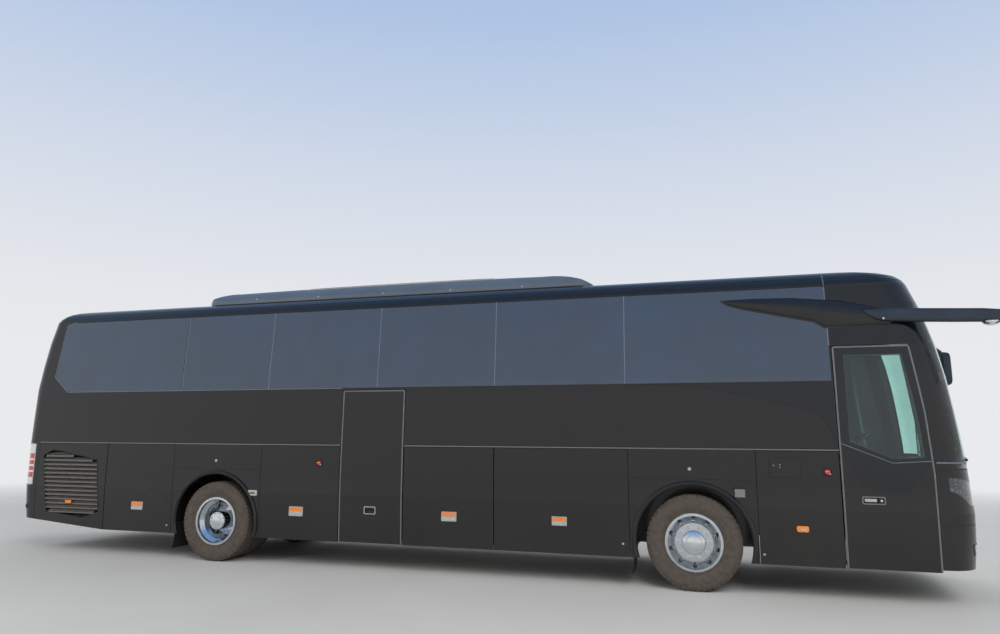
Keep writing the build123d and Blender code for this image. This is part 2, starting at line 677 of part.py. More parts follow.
for x, z in ((FRONT_BEAM_X, BEAM_Z), (TAIL_BEAM_X, BEAM_Z + 60)):
    beam = block(x - 40, x + 40, -SIDE_OUT, SIDE_OUT, z - 50, z + 50)
    beam += block(x - 40, x + 40, -RAIL_Y - 35, -RAIL_Y + 35, z, RAIL_BOTTOM + 60)
    beam += block(x - 40, x + 40, RAIL_Y - 35, RAIL_Y + 35, z, RAIL_BOTTOM + 60)
    underframe += beam & INSIDE_WALL
front_end = block(FRONT_BEAM_X - 50, FAR, -SIDE_OUT, SIDE_OUT, 0, SALOON_FLOOR_Z)
tail_end = block(-FAR, TAIL_BEAM_X + 50, -SIDE_OUT, SIDE_OUT, 0, SALOON_FLOOR_Z)
underframe &= INSIDE_FLAPS + front_end + tail_end

# Engine on its two cross members
ENGINE_X = (REAR_AXLE_X - 2700, REAR_AXLE_X - 1350)
ENGINE_HALF = RAIL_Y - 60
ENGINE_Z = (500, 1290)
for x in (ENGINE_X[0] + 200, ENGINE_X[1] - 200):
    underframe += block(x - 30, x + 30, -RAIL_Y, RAIL_Y, ENGINE_Z[0] - 60, ENGINE_Z[0])
    for side in (-1, 1):
        underframe += block(
            x - 30, x + 30, side * (RAIL_Y - 30), side * RAIL_Y, ENGINE_Z[0] - 60, RAIL_BOTTOM + 20
        )
save(block(*ENGINE_X, -ENGINE_HALF, ENGINE_HALF, *ENGINE_Z), "engine")

# Towing sockets in the end beams
TOW_Y = 250
TOW_RADIUS = 21
TOW_BOSS = 40
TOW_DEPTH = 110
for x, z, direction in ((FRONT_BEAM_X, BEAM_Z, 1), (TAIL_BEAM_X, BEAM_Z + 60, -1)):
    mouth = x + direction * (40 + TOW_DEPTH)
    boss = Pos(x + direction * (40 + TOW_DEPTH) / 2, TOW_Y, z) * Rot(0, 90, 0)
    underframe += boss * Cylinder(TOW_BOSS, 40 + TOW_DEPTH)
    socket = Pos(mouth - direction * TOW_DEPTH / 2, TOW_Y, z) * Rot(0, 90, 0)
    underframe -= socket * Cylinder(TOW_RADIUS, TOW_DEPTH)
    hole = Pos(mouth, TOW_Y, z) * Rot(0, 90, 0) * Cylinder(TOW_BOSS + 12, 500)
    if direction > 0:
        bumper -= hole
    else:
        tail -= hole
save(underframe, "underframe")
save(mask, "front_panel")
save(bumper, "front_bumper")
rear_bumper_zone = block(TAIL_X - 100, TAIL_PANEL_X, -SIDE_OUT, SIDE_OUT, 0, LID_BOTTOM)
save(tail & rear_bumper_zone, "rear_bumper")
save(tail - rear_bumper_zone, "rear_panel")


# Wheels, turned about the wheel's own axis; y runs from the tyre's middle outwards
def turned(points):
    """Solid of revolution about Y from an outline of radius and place along the axis."""
    outline = Polyline(*[(radius, y, 0) for radius, y in points], close=True)
    return revolve(make_face(outline), Axis.Y)


def tyre():
    """Tyre section: bead, bulged wall, shoulder and tread, both ways."""
    half = TYRE_WIDTH / 2
    bead, seat, crown = 112, RIM_RADIUS - 18, WHEEL_RADIUS
    tread = 128
    upper = [
        Line((seat, -bead, 0), (seat, bead, 0)),
        Line((seat, bead, 0), (RIM_RADIUS + 4, bead + 8, 0)),
        ThreePointArc((RIM_RADIUS + 4, bead + 8, 0), (crown - 95, half, 0), (crown - 22, tread + 8, 0)),
        Line((crown - 22, tread + 8, 0), (crown - 4, tread - 12, 0)),
        ThreePointArc((crown - 4, tread - 12, 0), (crown, 0, 0), (crown - 4, -tread + 12, 0)),
        Line((crown - 4, -tread + 12, 0), (crown - 22, -tread - 8, 0)),
        ThreePointArc((crown - 22, -tread - 8, 0), (crown - 95, -half, 0), (RIM_RADIUS + 4, -bead - 8, 0)),
        Line((RIM_RADIUS + 4, -bead - 8, 0), (seat, -bead, 0)),
    ]
    return revolve(make_face(upper), Axis.Y)


SEAT_RADIUS = RIM_RADIUS - 18 - SEAL
WELL_RADIUS = 245
DISC_WALL = 14


def rim_barrel():
    """Barrel of the rim with its two flanges and its well."""
    return [
        (SEAT_RADIUS, -100),
        (SEAT_RADIUS, -120),
        (RIM_RADIUS, -124),
        (RIM_RADIUS, -130),
        (SEAT_RADIUS - 10, -130),
        (SEAT_RADIUS - 10, -90),
        (WELL_RADIUS - 10, -45),
        (WELL_RADIUS - 10, 45),
        (SEAT_RADIUS - 10, 90),
        (SEAT_RADIUS - 10, 130),
        (RIM_RADIUS, 130),
        (RIM_RADIUS, 124),
        (SEAT_RADIUS, 120),
        (SEAT_RADIUS, 100),
        (WELL_RADIUS, 50),
        (WELL_RADIUS, -50),
    ]


HUB_RADIUS = 115
HAND_HOLES = 10
HAND_HOLE = 20


def wheel(disc_y, dish, hub_out):
    """Rim with a dished disc at disc_y, its hand holes and the hub over the spindle."""
    barrel = turned(rim_barrel())
    disc = turned(
        (
            (0, disc_y + dish),
            (STUD_CIRCLE / 2 + 35, disc_y + dish),
            (WELL_RADIUS - 9, disc_y),
            (WELL_RADIUS - 9, disc_y - DISC_WALL),
            (STUD_CIRCLE / 2 + 30, disc_y + dish - DISC_WALL),
            (0, disc_y + dish - DISC_WALL),
        )
    )
    body = barrel + disc
    if hub_out:
        body += turned(
            (
                (0, disc_y + dish - 5),
                (0, disc_y + dish + hub_out),
                (HUB_RADIUS - 20, disc_y + dish + hub_out),
                (HUB_RADIUS, disc_y + dish + hub_out - 20),
                (HUB_RADIUS, disc_y + dish - 5),
            )
        )
    cone_in = STUD_CIRCLE / 2 + 35
    cone_out = WELL_RADIUS - 9
    lean = degrees(atan2(-dish, cone_out - cone_in))
    for index in range(HAND_HOLES):
        hole = Rot(0, 360 * (index + 0.5) / HAND_HOLES, 0)
        hole *= Pos((cone_in + cone_out) / 2, disc_y + dish / 2 - DISC_WALL / 2, 0) * Rot(0, 0, lean)
        body -= hole * Rot(90, 0, 0) * Cylinder(HAND_HOLE, 60)
    return body


SPINDLE_END = 60


def placed(shape, x, y):
    """Shape with its outer side along +Y, set at one wheel; the right side is turned round."""
    turn = Rot(0, 0, 180) if y < 0 else Rot(0, 0, 0)
    return Pos(x, y, WHEEL_RADIUS) * turn * shape


tyre_shape = tyre()
front_rim = wheel(38, 70, 45)
twin_face = TWIN_SPACING / 2
rear_outer_rim = wheel(-40, 40 - twin_face + DISC_WALL, twin_face + 80)
rear_inner_rim = wheel(40, twin_face - 40, 0)
hole_length = 200 + 2 * SPINDLE_END
spindle_hole = Pos(0, -100, 0) * Rot(90, 0, 0) * Cylinder(SPINDLE_RADIUS + PIN_CLEARANCE, hole_length)
hub_barrel = Pos(0, 20, 0) * Rot(90, 0, 0) * Cylinder(HUB_RADIUS - 10, 170)
front_rim = (front_rim + hub_barrel) - spindle_hole
for side, label in ((1, "left"), (-1, "right")):
    save(placed(tyre_shape, FRONT_AXLE_X, side * FRONT_WHEEL_Y), f"front_{label}_tyre")
    save(placed(front_rim, FRONT_AXLE_X, side * FRONT_WHEEL_Y), f"front_{label}_rim")
    twins = [placed(tyre_shape, REAR_AXLE_X, side * y) for y in (REAR_OUTER_Y, REAR_INNER_Y)]
    save(Compound(children=twins), f"rear_{label}_tyres")
    rims = placed(rear_outer_rim, REAR_AXLE_X, side * REAR_OUTER_Y)
    rims += placed(rear_inner_rim, REAR_AXLE_X, side * REAR_INNER_Y)
    end = side * (REAR_OUTER_Y + SPINDLE_END)
    rims -= cross_cylinder(REAR_AXLE_X, 0, end, WHEEL_RADIUS, SPINDLE_RADIUS + PIN_CLEARANCE)
    save(rims, f"rear_{label}_rims")


# Front axle beam with its kingpin bosses and air bellows
BELLOWS_RADIUS = 120
AXLE_DROP = 110
BOSS_HALF = 70
KINGPIN_BOSS = 55


def bellows(x, y, z0, z1):
    """Rolling air bellows: plates with a waisted bag between."""
    bag = revolve(
        make_face(
            [
                Line((0, 0, z0), (BELLOWS_RADIUS * 0.75, 0, z0)),
                ThreePointArc(
                    (BELLOWS_RADIUS * 0.75, 0, z0),
                    (BELLOWS_RADIUS, 0, (z0 + z1) / 2 + 15),
                    (BELLOWS_RADIUS * 0.85, 0, z1),
                ),
                Line((BELLOWS_RADIUS * 0.85, 0, z1), (0, 0, z1)),
                Line((0, 0, z1), (0, 0, z0)),
            ]
        ),
        Axis.Z,
    )
    return Pos(x, y, 0) * bag


beam_z = WHEEL_RADIUS - AXLE_DROP
RAMP_Y = RAIL_Y + 110
beam_end = RAMP_Y + 20
axle = block(FRONT_AXLE_X - 45, FRONT_AXLE_X + 45, -beam_end, beam_end, beam_z - 60, beam_z + 60)
for side in (-1, 1):
    ramp = front_prism(
        (
            (side * RAMP_Y, beam_z - 60),
            (side * (KINGPIN_Y - 20), WHEEL_RADIUS - 55),
            (side * (KINGPIN_Y - 20), WHEEL_RADIUS + 55),
            (side * RAMP_Y, beam_z + 60),
        ),
        FRONT_AXLE_X - 45,
        FRONT_AXLE_X + 45,
    )
    boss = Pos(FRONT_AXLE_X, side * KINGPIN_Y, WHEEL_RADIUS) * Cylinder(KINGPIN_BOSS, 2 * BOSS_HALF)
    hole = Pos(FRONT_AXLE_X, side * KINGPIN_Y, WHEEL_RADIUS) * Cylinder(KINGPIN_RADIUS + PIN_CLEARANCE, 300)
    pad = Pos(FRONT_AXLE_X, side * RAIL_Y, beam_z + 62.5) * Box(220, 200, 25)
    axle += ramp + boss + pad
    axle += bellows(FRONT_AXLE_X, side * RAIL_Y, beam_z + 75, FRONT_RAIL_BOTTOM)
    axle -= hole
save(axle, "front_axle")


# Steering knuckle: two lugs round the boss, the kingpin, the spindle and the brake disc
LUG_WALL = 32
LUG_GAP = 5


def knuckle(side):
    y = side * KINGPIN_Y
    centre = Pos(FRONT_AXLE_X, y, WHEEL_RADIUS)
    lug_z = BOSS_HALF + LUG_GAP + LUG_WALL / 2
    body = centre * Cylinder(KINGPIN_RADIUS, 2 * (BOSS_HALF + LUG_GAP + LUG_WALL))
    plate_y = side * (KINGPIN_Y + KINGPIN_BOSS + 8)
    for level in (-1, 1):
        body += Pos(FRONT_AXLE_X, y, WHEEL_RADIUS + level * lug_z) * Cylinder(KINGPIN_BOSS, LUG_WALL)
        z0 = WHEEL_RADIUS + level * (lug_z - LUG_WALL / 2)
        z1 = WHEEL_RADIUS + level * (lug_z + LUG_WALL / 2)
        body += block(FRONT_AXLE_X - 50, FRONT_AXLE_X + 50, y, plate_y, min(z0, z1), max(z0, z1))
    outer_z = BOSS_HALF + LUG_GAP + LUG_WALL
    body += block(
        FRONT_AXLE_X - 60,
        FRONT_AXLE_X + 60,
        plate_y,
        plate_y + side * 24,
        WHEEL_RADIUS - outer_z,
        WHEEL_RADIUS + outer_z,
    )
    end = side * (FRONT_WHEEL_Y + SPINDLE_END - 6)
    body += cross_cylinder(FRONT_AXLE_X, plate_y, end, WHEEL_RADIUS, SPINDLE_RADIUS)
    return body


save(knuckle(1), "front_left_knuckle")
save(knuckle(-1), "front_right_knuckle")

# Rear axle: banjo housing, tubes, carrier beams and four bellows
TUBE_RADIUS = 75
BANJO_RADIUS = 235
CARRIER_HALF = 380
CARRIER_Z = (WHEEL_RADIUS - 85, WHEEL_RADIUS - 30)
tube_end = REAR_INNER_Y - 197
rear_axle = cross_cylinder(REAR_AXLE_X, -tube_end, tube_end, WHEEL_RADIUS, TUBE_RADIUS)
rear_axle += Pos(REAR_AXLE_X, 0, WHEEL_RADIUS) * Rot(0, 90, 0) * Cylinder(BANJO_RADIUS, 190)
rear_axle += Pos(REAR_AXLE_X - 170, 0, WHEEL_RADIUS) * Rot(0, 90, 0) * Cylinder(120, 200)
spindle_y = REAR_OUTER_Y + SPINDLE_END - 6
rear_axle += cross_cylinder(REAR_AXLE_X, -spindle_y, spindle_y, WHEEL_RADIUS, SPINDLE_RADIUS)
for side in (-1, 1):
    rear_axle += block(
        REAR_AXLE_X - CARRIER_HALF,
        REAR_AXLE_X + CARRIER_HALF,
        side * (RAIL_Y - 45),
        side * (RAIL_Y + 45),
        *CARRIER_Z,
    )
    for end in (-1, 1):
        x = REAR_AXLE_X + end * (CARRIER_HALF - 100)
        rear_axle += bellows(x, side * RAIL_Y, CARRIER_Z[1], RAIL_BOTTOM)
save(rear_axle, "rear_axle")


# Doors: each leaf is carried by a goose-necked swing arm on a turning post
ARM_LENGTH = 410
POST_SET = 95
POST_Y = 110 - HALF_WIDTH
NECK_OUT = (108, 137)
POST_RADIUS = 22
ARM_RADIUS = 16
ARM_HEIGHTS = (760, 1330)
LEAF_PIN = 12
LUG_RADIUS = 26


def swing_arm(post_x, direction, post_top):
    """Post and two goose necks; direction is the way along X from the post to the leaf's pin."""
    height = post_top - STEP_Z
    arm = Pos(post_x, POST_Y, STEP_Z + SEAL + height / 2) * Cylinder(POST_RADIUS, height)
    pin_x = post_x + direction * ARM_LENGTH
    for z in ARM_HEIGHTS:
        path = FilletPolyline(
            (post_x, POST_Y, z),
            (post_x + direction * NECK_OUT[0], POST_Y + NECK_OUT[1], z),
            (pin_x, POST_Y, z),
            radius=70,
        )
        start = Plane(origin=path @ 0, z_dir=path % 0)
        arm += sweep(start * Circle(ARM_RADIUS), path)
        arm += Pos(pin_x, POST_Y, z) * Cylinder(LUG_RADIUS - 4, 2 * ARM_RADIUS)
        arm += Pos(pin_x, POST_Y, z) * Cylinder(LEAF_PIN, 110)
    return arm


def leaf_lugs(pin_x):
    """Forked brackets on the leaf's inner face, over and under each arm's end."""
    lugs = []
    for z in ARM_HEIGHTS:
        for level in (-1, 1):
            z0 = z + level * (ARM_RADIUS + 5)
            z1 = z + level * (ARM_RADIUS + 5 + 20)
            lug = block(pin_x - LUG_RADIUS, pin_x + LUG_RADIUS, POST_Y, 10 - HALF_WIDTH, z0, z1)
            lug += Pos(pin_x, POST_Y, (z0 + z1) / 2) * Cylinder(LUG_RADIUS, 20)
            lug -= Pos(pin_x, POST_Y, (z0 + z1) / 2) * Cylinder(LEAF_PIN + PIN_CLEARANCE, 60)
            lugs.append(lug)
    return lugs


DOOR_GAP = 8
DOOR_BOTTOM = SKIRT_Z + 5
front_post_x = NOSE_X - DOOR_EDGE[0][0] - POST_SET
mid_post_x = MID_DOOR_SPAN[0] + POST_SET
front_pin_x = front_post_x - ARM_LENGTH
mid_pin_x = mid_post_x + ARM_LENGTH

door_top = FRONT_DOOR_TOP - DOOR_GAP
door = DOOR_SHELL & side_zone(-1, FRONT_DOOR_REAR_X + DOOR_GAP, NOSE_X, DOOR_BOTTOM, door_top)
door &= behind_door_line(DOOR_GAP)
door -= GLASS_RECESS & side_prism(door_glass_outline, -SIDE_OUT, -SIDE_IN)
door -= side_prism(door_glass_opening, -SIDE_OUT, -SIDE_IN)
INSIDE_DOOR = body_form(10)
for lug in leaf_lugs(front_pin_x):
    door += lug & INSIDE_DOOR
save(door, "front_door")
save(GLASS_SHELL & side_prism(door_glass_outline, -SIDE_OUT, -SIDE_IN), "front_door_glass")
save(swing_arm(front_post_x, -1, 2200), "front_door_arm")

mid_door = DOOR_SHELL & side_zone(
    -1,
    MID_DOOR_SPAN[0] + DOOR_GAP,
    MID_DOOR_SPAN[1] - DOOR_GAP,
    DOOR_BOTTOM,
    MID_DOOR_TOP - DOOR_GAP,
)
for lug in leaf_lugs(mid_pin_x):
    mid_door += lug & INSIDE_DOOR
save(mid_door, "mid_door")
save(swing_arm(mid_post_x, 1, 2100), "mid_door_arm")


# Mirrors: a wing-shaped fairing on the body side, an arm reaching forward and a hanging head
FAIRING_OUT = 45
fairing_outline = tuple(
    (REAR_AXLE_X + x, z)
    for x, z in (
        (6480, 3152),
        (6706, 3050),
        (7441, 2874),
        (7530, 2800),
        (8193, 2806),
        (8230, 2960),
        (7705, 3099),
        (7204, 3152),
    )
)
HEAD_X = NOSE_X + MIRROR_REACH - 130
HEAD_Y = HALF_WIDTH + 60
HEAD_Z = (2340, 2800)
HEAD_SIZE = (130, 260)
ARM_WIDTH = 46


def right_mirror():
    fairing = body_form(-FAIRING_OUT) - body_form(-SEAL)
    fairing &= side_prism(fairing_outline, -SIDE_OUT, -SIDE_IN)
    path = FilletPolyline(
        (NOSE_X - 900, 30 - HALF_WIDTH, 2930),
        (NOSE_X - 450, -10 - HALF_WIDTH, 2900),
        (HEAD_X + 65, -HEAD_Y, 2860),
        (HEAD_X + 65, -HEAD_Y, HEAD_Z[1] - 40),
        radius=45,
    )
    start = Plane(origin=path @ 0, z_dir=path % 0)
    arm = sweep(start * Circle(ARM_WIDTH), path)
    arm -= body_form(-SEAL)
    height = HEAD_Z[1] - HEAD_Z[0]
    head = Box(HEAD_SIZE[0], HEAD_SIZE[1], height)
    head = fillet(head.edges(), 40)
    head = Pos(HEAD_X + 65, -HEAD_Y, (HEAD_Z[0] + HEAD_Z[1]) / 2) * head
    return (fairing + arm + head).solids()


right_mirror_solids = right_mirror()
left_mirror_solids = [mirror(solid, about=Plane.XZ) for solid in right_mirror_solids]
save(Compound(children=[*right_mirror_solids, *left_mirror_solids]), "mirrors")


# Wipers lying on the windscreen
def wiper(root_y, tip_y):
    """Arm and blade as strips that follow the curved screen."""
    def strip(y0, z0, y1, z1, width, inner, outer):
        length = hypot(y1 - y0, z1 - z0)
        ny, nz = -(z1 - z0) / length * width / 2, (y1 - y0) / length * width / 2
        points = ((y0 + ny, z0 + nz), (y1 + ny, z1 + nz), (y1 - ny, z1 - nz), (y0 - ny, z0 - nz))
        ring = body_form(-outer) - body_form(-inner)
        return ring & front_prism(points, NOSE_X - 700, NOSE_X + 200)

    arm = strip(root_y, 1300, tip_y, 1460, 30, 14, 34)
    blade = strip(tip_y - 420, 1420, tip_y + 420, 1500, 22, 1, 16)
    foot = strip(root_y, 1270, root_y, 1330, 60, SEAL, 34)
    return arm + blade + foot


save(Compound(children=[*wiper(-250, -640).solids(), *wiper(640, 250).solids()]), "wipers")


# Dashboard and steering column, steering wheel
STEERING_Y = HALF_WIDTH - 655
WHEEL_TILT = 28
wheel_centre = (NOSE_X - 900, STEERING_Y, 1600)
column_axis = Pos(*wheel_centre) * Rot(0, -WHEEL_TILT, 0)
dash_outline = (
    (NOSE_X - 620, DRIVER_FLOOR_Z),
    (NOSE_X - 560, 1180),
    (NOSE_X - 660, 1230),
    (NOSE_X - 640, 1300),
    (NOSE_X - 420, 1360),
    (NOSE_X - 160, 1320),
    (NOSE_X - 120, DRIVER_FLOOR_Z),
)
dashboard = side_prism(dash_outline, 175 - HALF_WIDTH, HALF_WIDTH - 25) & INSIDE_WALL
HUB_HALF = 17
COLUMN_LENGTH = 480
column = column_axis * Pos(0, 0, -HUB_HALF - SEAL - COLUMN_LENGTH / 2) * Cylinder(32, COLUMN_LENGTH)
column += block(NOSE_X - 700, NOSE_X - 500, STEERING_Y - 60, STEERING_Y + 60, 1120, 1235)
save(dashboard + column, "dashboard")

RING_RADIUS = 225
steering = Torus(RING_RADIUS, 15) + Cylinder(48, 2 * HUB_HALF)
for angle in (90, 210, 330):
    steering += Rot(0, 0, angle) * Pos(RING_RADIUS / 2, 0, 0) * Box(RING_RADIUS - 6, 30, 12)
save(column_axis * steering, "steering_wheel")


# Seats in rows of two pairs, with the driver's seat
SEAT_PITCH = 770
PAIR_WIDTH = 900
PAIR_Y = HALF_WIDTH - 540


def seat(x, y, width, floor_z):
    """Cushion and reclined back on a box base; the sitter faces forward."""
    profile = (
        (x + 460, floor_z + 360),
        (x + 480, floor_z + 470),
        (x + 60, floor_z + 440),
        (x - 90, floor_z + 1110),
        (x - 150, floor_z + 1120),
        (x - 190, floor_z + 1060),
        (x - 30, floor_z + 350),
    )
    base = block(x + 60, x + 330, y - 90, y + 90, floor_z, floor_z + 360)
    return side_prism(profile, y - width / 2, y + width / 2) + base


seats = []
row_x = TAIL_X + 700
while row_x + 500 < SALOON_FRONT_X:
    for side in (-1, 1):
        over_stairs = side < 0 and MID_DOOR_SPAN[0] - 520 < row_x < MID_DOOR_SPAN[1] + 230
        if not over_stairs:
            seats += seat(row_x, side * PAIR_Y, PAIR_WIDTH, SALOON_FLOOR_Z).solids()
    row_x += SEAT_PITCH
seats += seat(NOSE_X - 1400, STEERING_Y, 520, DRIVER_FLOOR_Z).solids()
save(Compound(children=seats), "seats")


# Luggage racks along the ceiling
RACK_Z = (2900, 3140)
RACK_EDGE_Y = HALF_WIDTH - 495
racks = []
for side in (-1, 1):
    rack = front_prism(
        (
            (side * (HALF_WIDTH + 25), RACK_Z[0] + 40),
            (side * RACK_EDGE_Y, RACK_Z[0]),
            (side * (RACK_EDGE_Y - 40), RACK_Z[0] + 60),
            (side * (RACK_EDGE_Y + 20), RACK_Z[0] + 110),
            (side * (HALF_WIDTH + 25), RACK_Z[0] + 110),
        ),
        TAIL_X + 500,
        FRONT_DOOR_REAR_X - 200,
    )
    racks += (rack & INSIDE_WALL).solids()
save(Compound(children=racks), "luggage_racks")
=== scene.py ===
import bmesh
import bpy
import numpy as np
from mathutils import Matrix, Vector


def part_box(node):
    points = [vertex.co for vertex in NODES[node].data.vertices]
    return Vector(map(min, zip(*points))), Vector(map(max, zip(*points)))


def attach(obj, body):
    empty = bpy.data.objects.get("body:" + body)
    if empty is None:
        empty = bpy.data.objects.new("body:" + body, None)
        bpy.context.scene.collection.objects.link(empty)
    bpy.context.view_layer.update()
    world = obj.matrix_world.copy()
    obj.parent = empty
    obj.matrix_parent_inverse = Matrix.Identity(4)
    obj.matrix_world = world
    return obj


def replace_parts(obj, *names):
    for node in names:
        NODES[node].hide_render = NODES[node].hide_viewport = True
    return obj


bl_info = {
    "name": "Touring coach",
    "version": (1, 0, 0),
    "blender": (4, 5, 0),
    "location": "View3D > Sidebar > Coach",
    "description": "Paint, glass, wheels, trim, lamps and seats of a high-deck coach round its packed frame",
    "category": "Add Mesh",
}

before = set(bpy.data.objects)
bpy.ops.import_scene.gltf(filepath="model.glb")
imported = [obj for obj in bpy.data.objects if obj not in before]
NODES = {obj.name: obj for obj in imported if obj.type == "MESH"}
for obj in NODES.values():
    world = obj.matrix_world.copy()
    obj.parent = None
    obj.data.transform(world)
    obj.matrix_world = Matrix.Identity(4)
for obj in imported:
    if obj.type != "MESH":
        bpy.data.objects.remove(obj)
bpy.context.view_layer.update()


def low(node):
    return np.array(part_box(node)[0])


def high(node):
    return np.array(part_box(node)[1])


def middle(node):
    return (low(node) + high(node)) / 2


# Sizes taken from the frame, in metres
NOSE_X = float(high("front_panel")[0])
TAIL_X = float(low("engine_lid")[0])
HALF_WIDTH = float(high("arch_panels")[1])
FRONT_AXLE_X = float(middle("front_left_tyre")[0])
REAR_AXLE_X = float(middle("rear_left_tyres")[0])
WHEEL_Z = float(middle("front_left_tyre")[2])
WHEEL_RADIUS = float(high("front_left_tyre")[2] - WHEEL_Z)
FRONT_WHEEL_Y = float(middle("front_left_tyre")[1])
TYRE_HALF = float(high("front_left_tyre")[1]) - FRONT_WHEEL_Y
OUTER_TWIN_Y = float(high("rear_left_tyres")[1]) - TYRE_HALF
INNER_TWIN_Y = float(low("rear_left_tyres")[1]) + TYRE_HALF
SKIRT_Z = float(low("arch_panels")[2])
BELT_Z = float(high("arch_panels")[2])
DOOR_REAR_X = float(low("front_door")[0])
MID_DOOR = (float(low("mid_door")[0]), float(high("mid_door")[0]))
MID_DOOR_TOP = float(high("mid_door")[2])
DOOR_BOTTOM = float(low("mid_door")[2])
FRONT_DOOR_TOP = float(high("front_door")[2])
MIRROR_X = float(high("mirrors")[0])
# Top edge of the matte side panels, which the glass starts from, the glass's top and the roof's
SILL_Z = 2.228
GLASS_TOP_Z = 3.272
ROOF_Z = 3.492

# The wheels' discs and hubs: the nuts' circle, and faces outwards from the middle of the outer tyre
NUT_CIRCLE = 0.1675
NUT_COUNT = 10
FRONT_FACE = 0.108
REAR_FACE = -0.1535
REAR_HUB_END = 0.094

# The body's skin at each height: height, tuck of the sides, set-back of the nose, set-in of the tail
SKIN = np.array(
    [
        (0.330, 0.035, 0.045, 0.055),
        (0.600, 0.020, 0.014, 0.025),
        (0.900, 0.005, 0.000, 0.005),
        (1.520, 0.000, 0.042, 0.000),
        (1.900, 0.0065, 0.086, 0.003),
        (2.280, 0.013, 0.140, 0.010),
        (2.620, 0.036, 0.204, 0.042),
        (2.960, 0.058, 0.297, 0.092),
        (3.283, 0.080, 0.425, 0.170),
        (3.335, 0.103, 0.455, 0.200),
        (3.380, 0.135, 0.505, 0.245),
        (3.414, 0.175, 0.590, 0.300),
        (3.440, 0.225, 0.705, 0.365),
        (3.460, 0.290, 0.880, 0.470),
        (3.475, 0.375, 1.145, 0.655),
        (3.485, 0.490, 1.330, 0.780),
        (3.492, 0.640, 1.500, 0.900),
    ]
)
NOSE_CORNER = 0.35
TAIL_CORNER = 0.20
NOSE_BOW = 5.0


def skin_levels(z):
    """Side tuck, nose set-back and tail set-in at a height, straight between the levels."""
    return [np.interp(z, SKIN[:, 0], SKIN[:, column]) for column in (1, 2, 3)]


def side_skin(x, z):
    """Half width of the body at x and z: flat sides that turn in on an arc at the nose and the tail."""
    tuck, nose_set, tail_set = skin_levels(z)
    half = HALF_WIDTH - tuck
    swing = np.arcsin((half - NOSE_CORNER) / (NOSE_BOW - NOSE_CORNER))
    arc_x = NOSE_X - nose_set - NOSE_BOW + (NOSE_BOW - NOSE_CORNER) * np.cos(swing)
    ahead = np.clip(x - arc_x, 0, NOSE_CORNER)
    behind = np.clip(TAIL_X + tail_set + TAIL_CORNER - x, 0, TAIL_CORNER)
    front_drop = NOSE_CORNER - np.sqrt(NOSE_CORNER**2 - ahead**2)
    rear_drop = TAIL_CORNER - np.sqrt(TAIL_CORNER**2 - behind**2)
    return half - front_drop - rear_drop


def nose_skin(y, z):
    """Foremost x of the body at y and z: a wide bow between two corner arcs."""
    tuck, nose_set, _ = skin_levels(z)
    half = HALF_WIDTH - tuck
    centre_x = NOSE_X - nose_set - NOSE_BOW
    swing = np.arcsin((half - NOSE_CORNER) / (NOSE_BOW - NOSE_CORNER))
    arc_x = centre_x + (NOSE_BOW - NOSE_CORNER) * np.cos(swing)
    reach = np.abs(y)
    bow = centre_x + np.sqrt(NOSE_BOW**2 - reach**2)
    out = np.clip(reach - (half - NOSE_CORNER), 0, NOSE_CORNER)
    corner = arc_x + np.sqrt(NOSE_CORNER**2 - out**2)
    return np.where(reach < NOSE_BOW * np.sin(swing), bow, corner)


def tail_skin(y, z):
    """Rearmost x of the body at y and z: a flat face between two corner arcs."""
    tuck, _, tail_set = skin_levels(z)
    out = np.clip(np.abs(y) - (HALF_WIDTH - tuck - TAIL_CORNER), 0, TAIL_CORNER)
    return TAIL_X + tail_set + TAIL_CORNER - np.sqrt(TAIL_CORNER**2 - out**2)


# Meshes


def unit(vectors):
    return vectors / np.linalg.norm(vectors, axis=-1, keepdims=True)


def grid_faces(rows, columns, wrap_rows=False, wrap_columns=False):
    """Quads between the points of a grid numbered row by row, joined round where it wraps."""
    i = np.arange(rows if wrap_rows else rows - 1)[:, None]
    j = np.arange(columns if wrap_columns else columns - 1)[None, :]
    ahead, across = (i + 1) % rows, (j + 1) % columns
    corners = (i * columns + j, i * columns + across, ahead * columns + across, ahead * columns + j)
    return np.stack(corners, -1).reshape(-1, 4).tolist()


def carried(profile, path, outward, closed=False, size=1.0):
    """A closed profile (a, b) carried along a path: point = path + size * (a * across + b * outward),
    where across is the tangent crossed with outward and size may change along the path."""
    path, profile = np.asarray(path, float), np.asarray(profile, float)
    if closed:
        ahead = np.roll(path, -1, 0) - np.roll(path, 1, 0)
    else:
        ahead = np.gradient(path, axis=0)
    tangent = unit(ahead)
    outward = np.broadcast_to(np.asarray(outward, float), path.shape)
    outward = unit(outward - tangent * np.sum(outward * tangent, -1, keepdims=True))
    across = np.cross(tangent, outward)
    size = np.broadcast_to(np.asarray(size, float), len(path))[:, None, None]
    section = profile[None, :, :1] * across[:, None] + profile[None, :, 1:] * outward[:, None]
    points = path[:, None] + size * section
    rows, columns = points.shape[:2]
    faces = grid_faces(rows, columns, wrap_rows=closed, wrap_columns=True)
    if not closed:
        faces += [list(range(columns)), list(range((rows - 1) * columns, rows * columns))]
    return points.reshape(-1, 3), faces


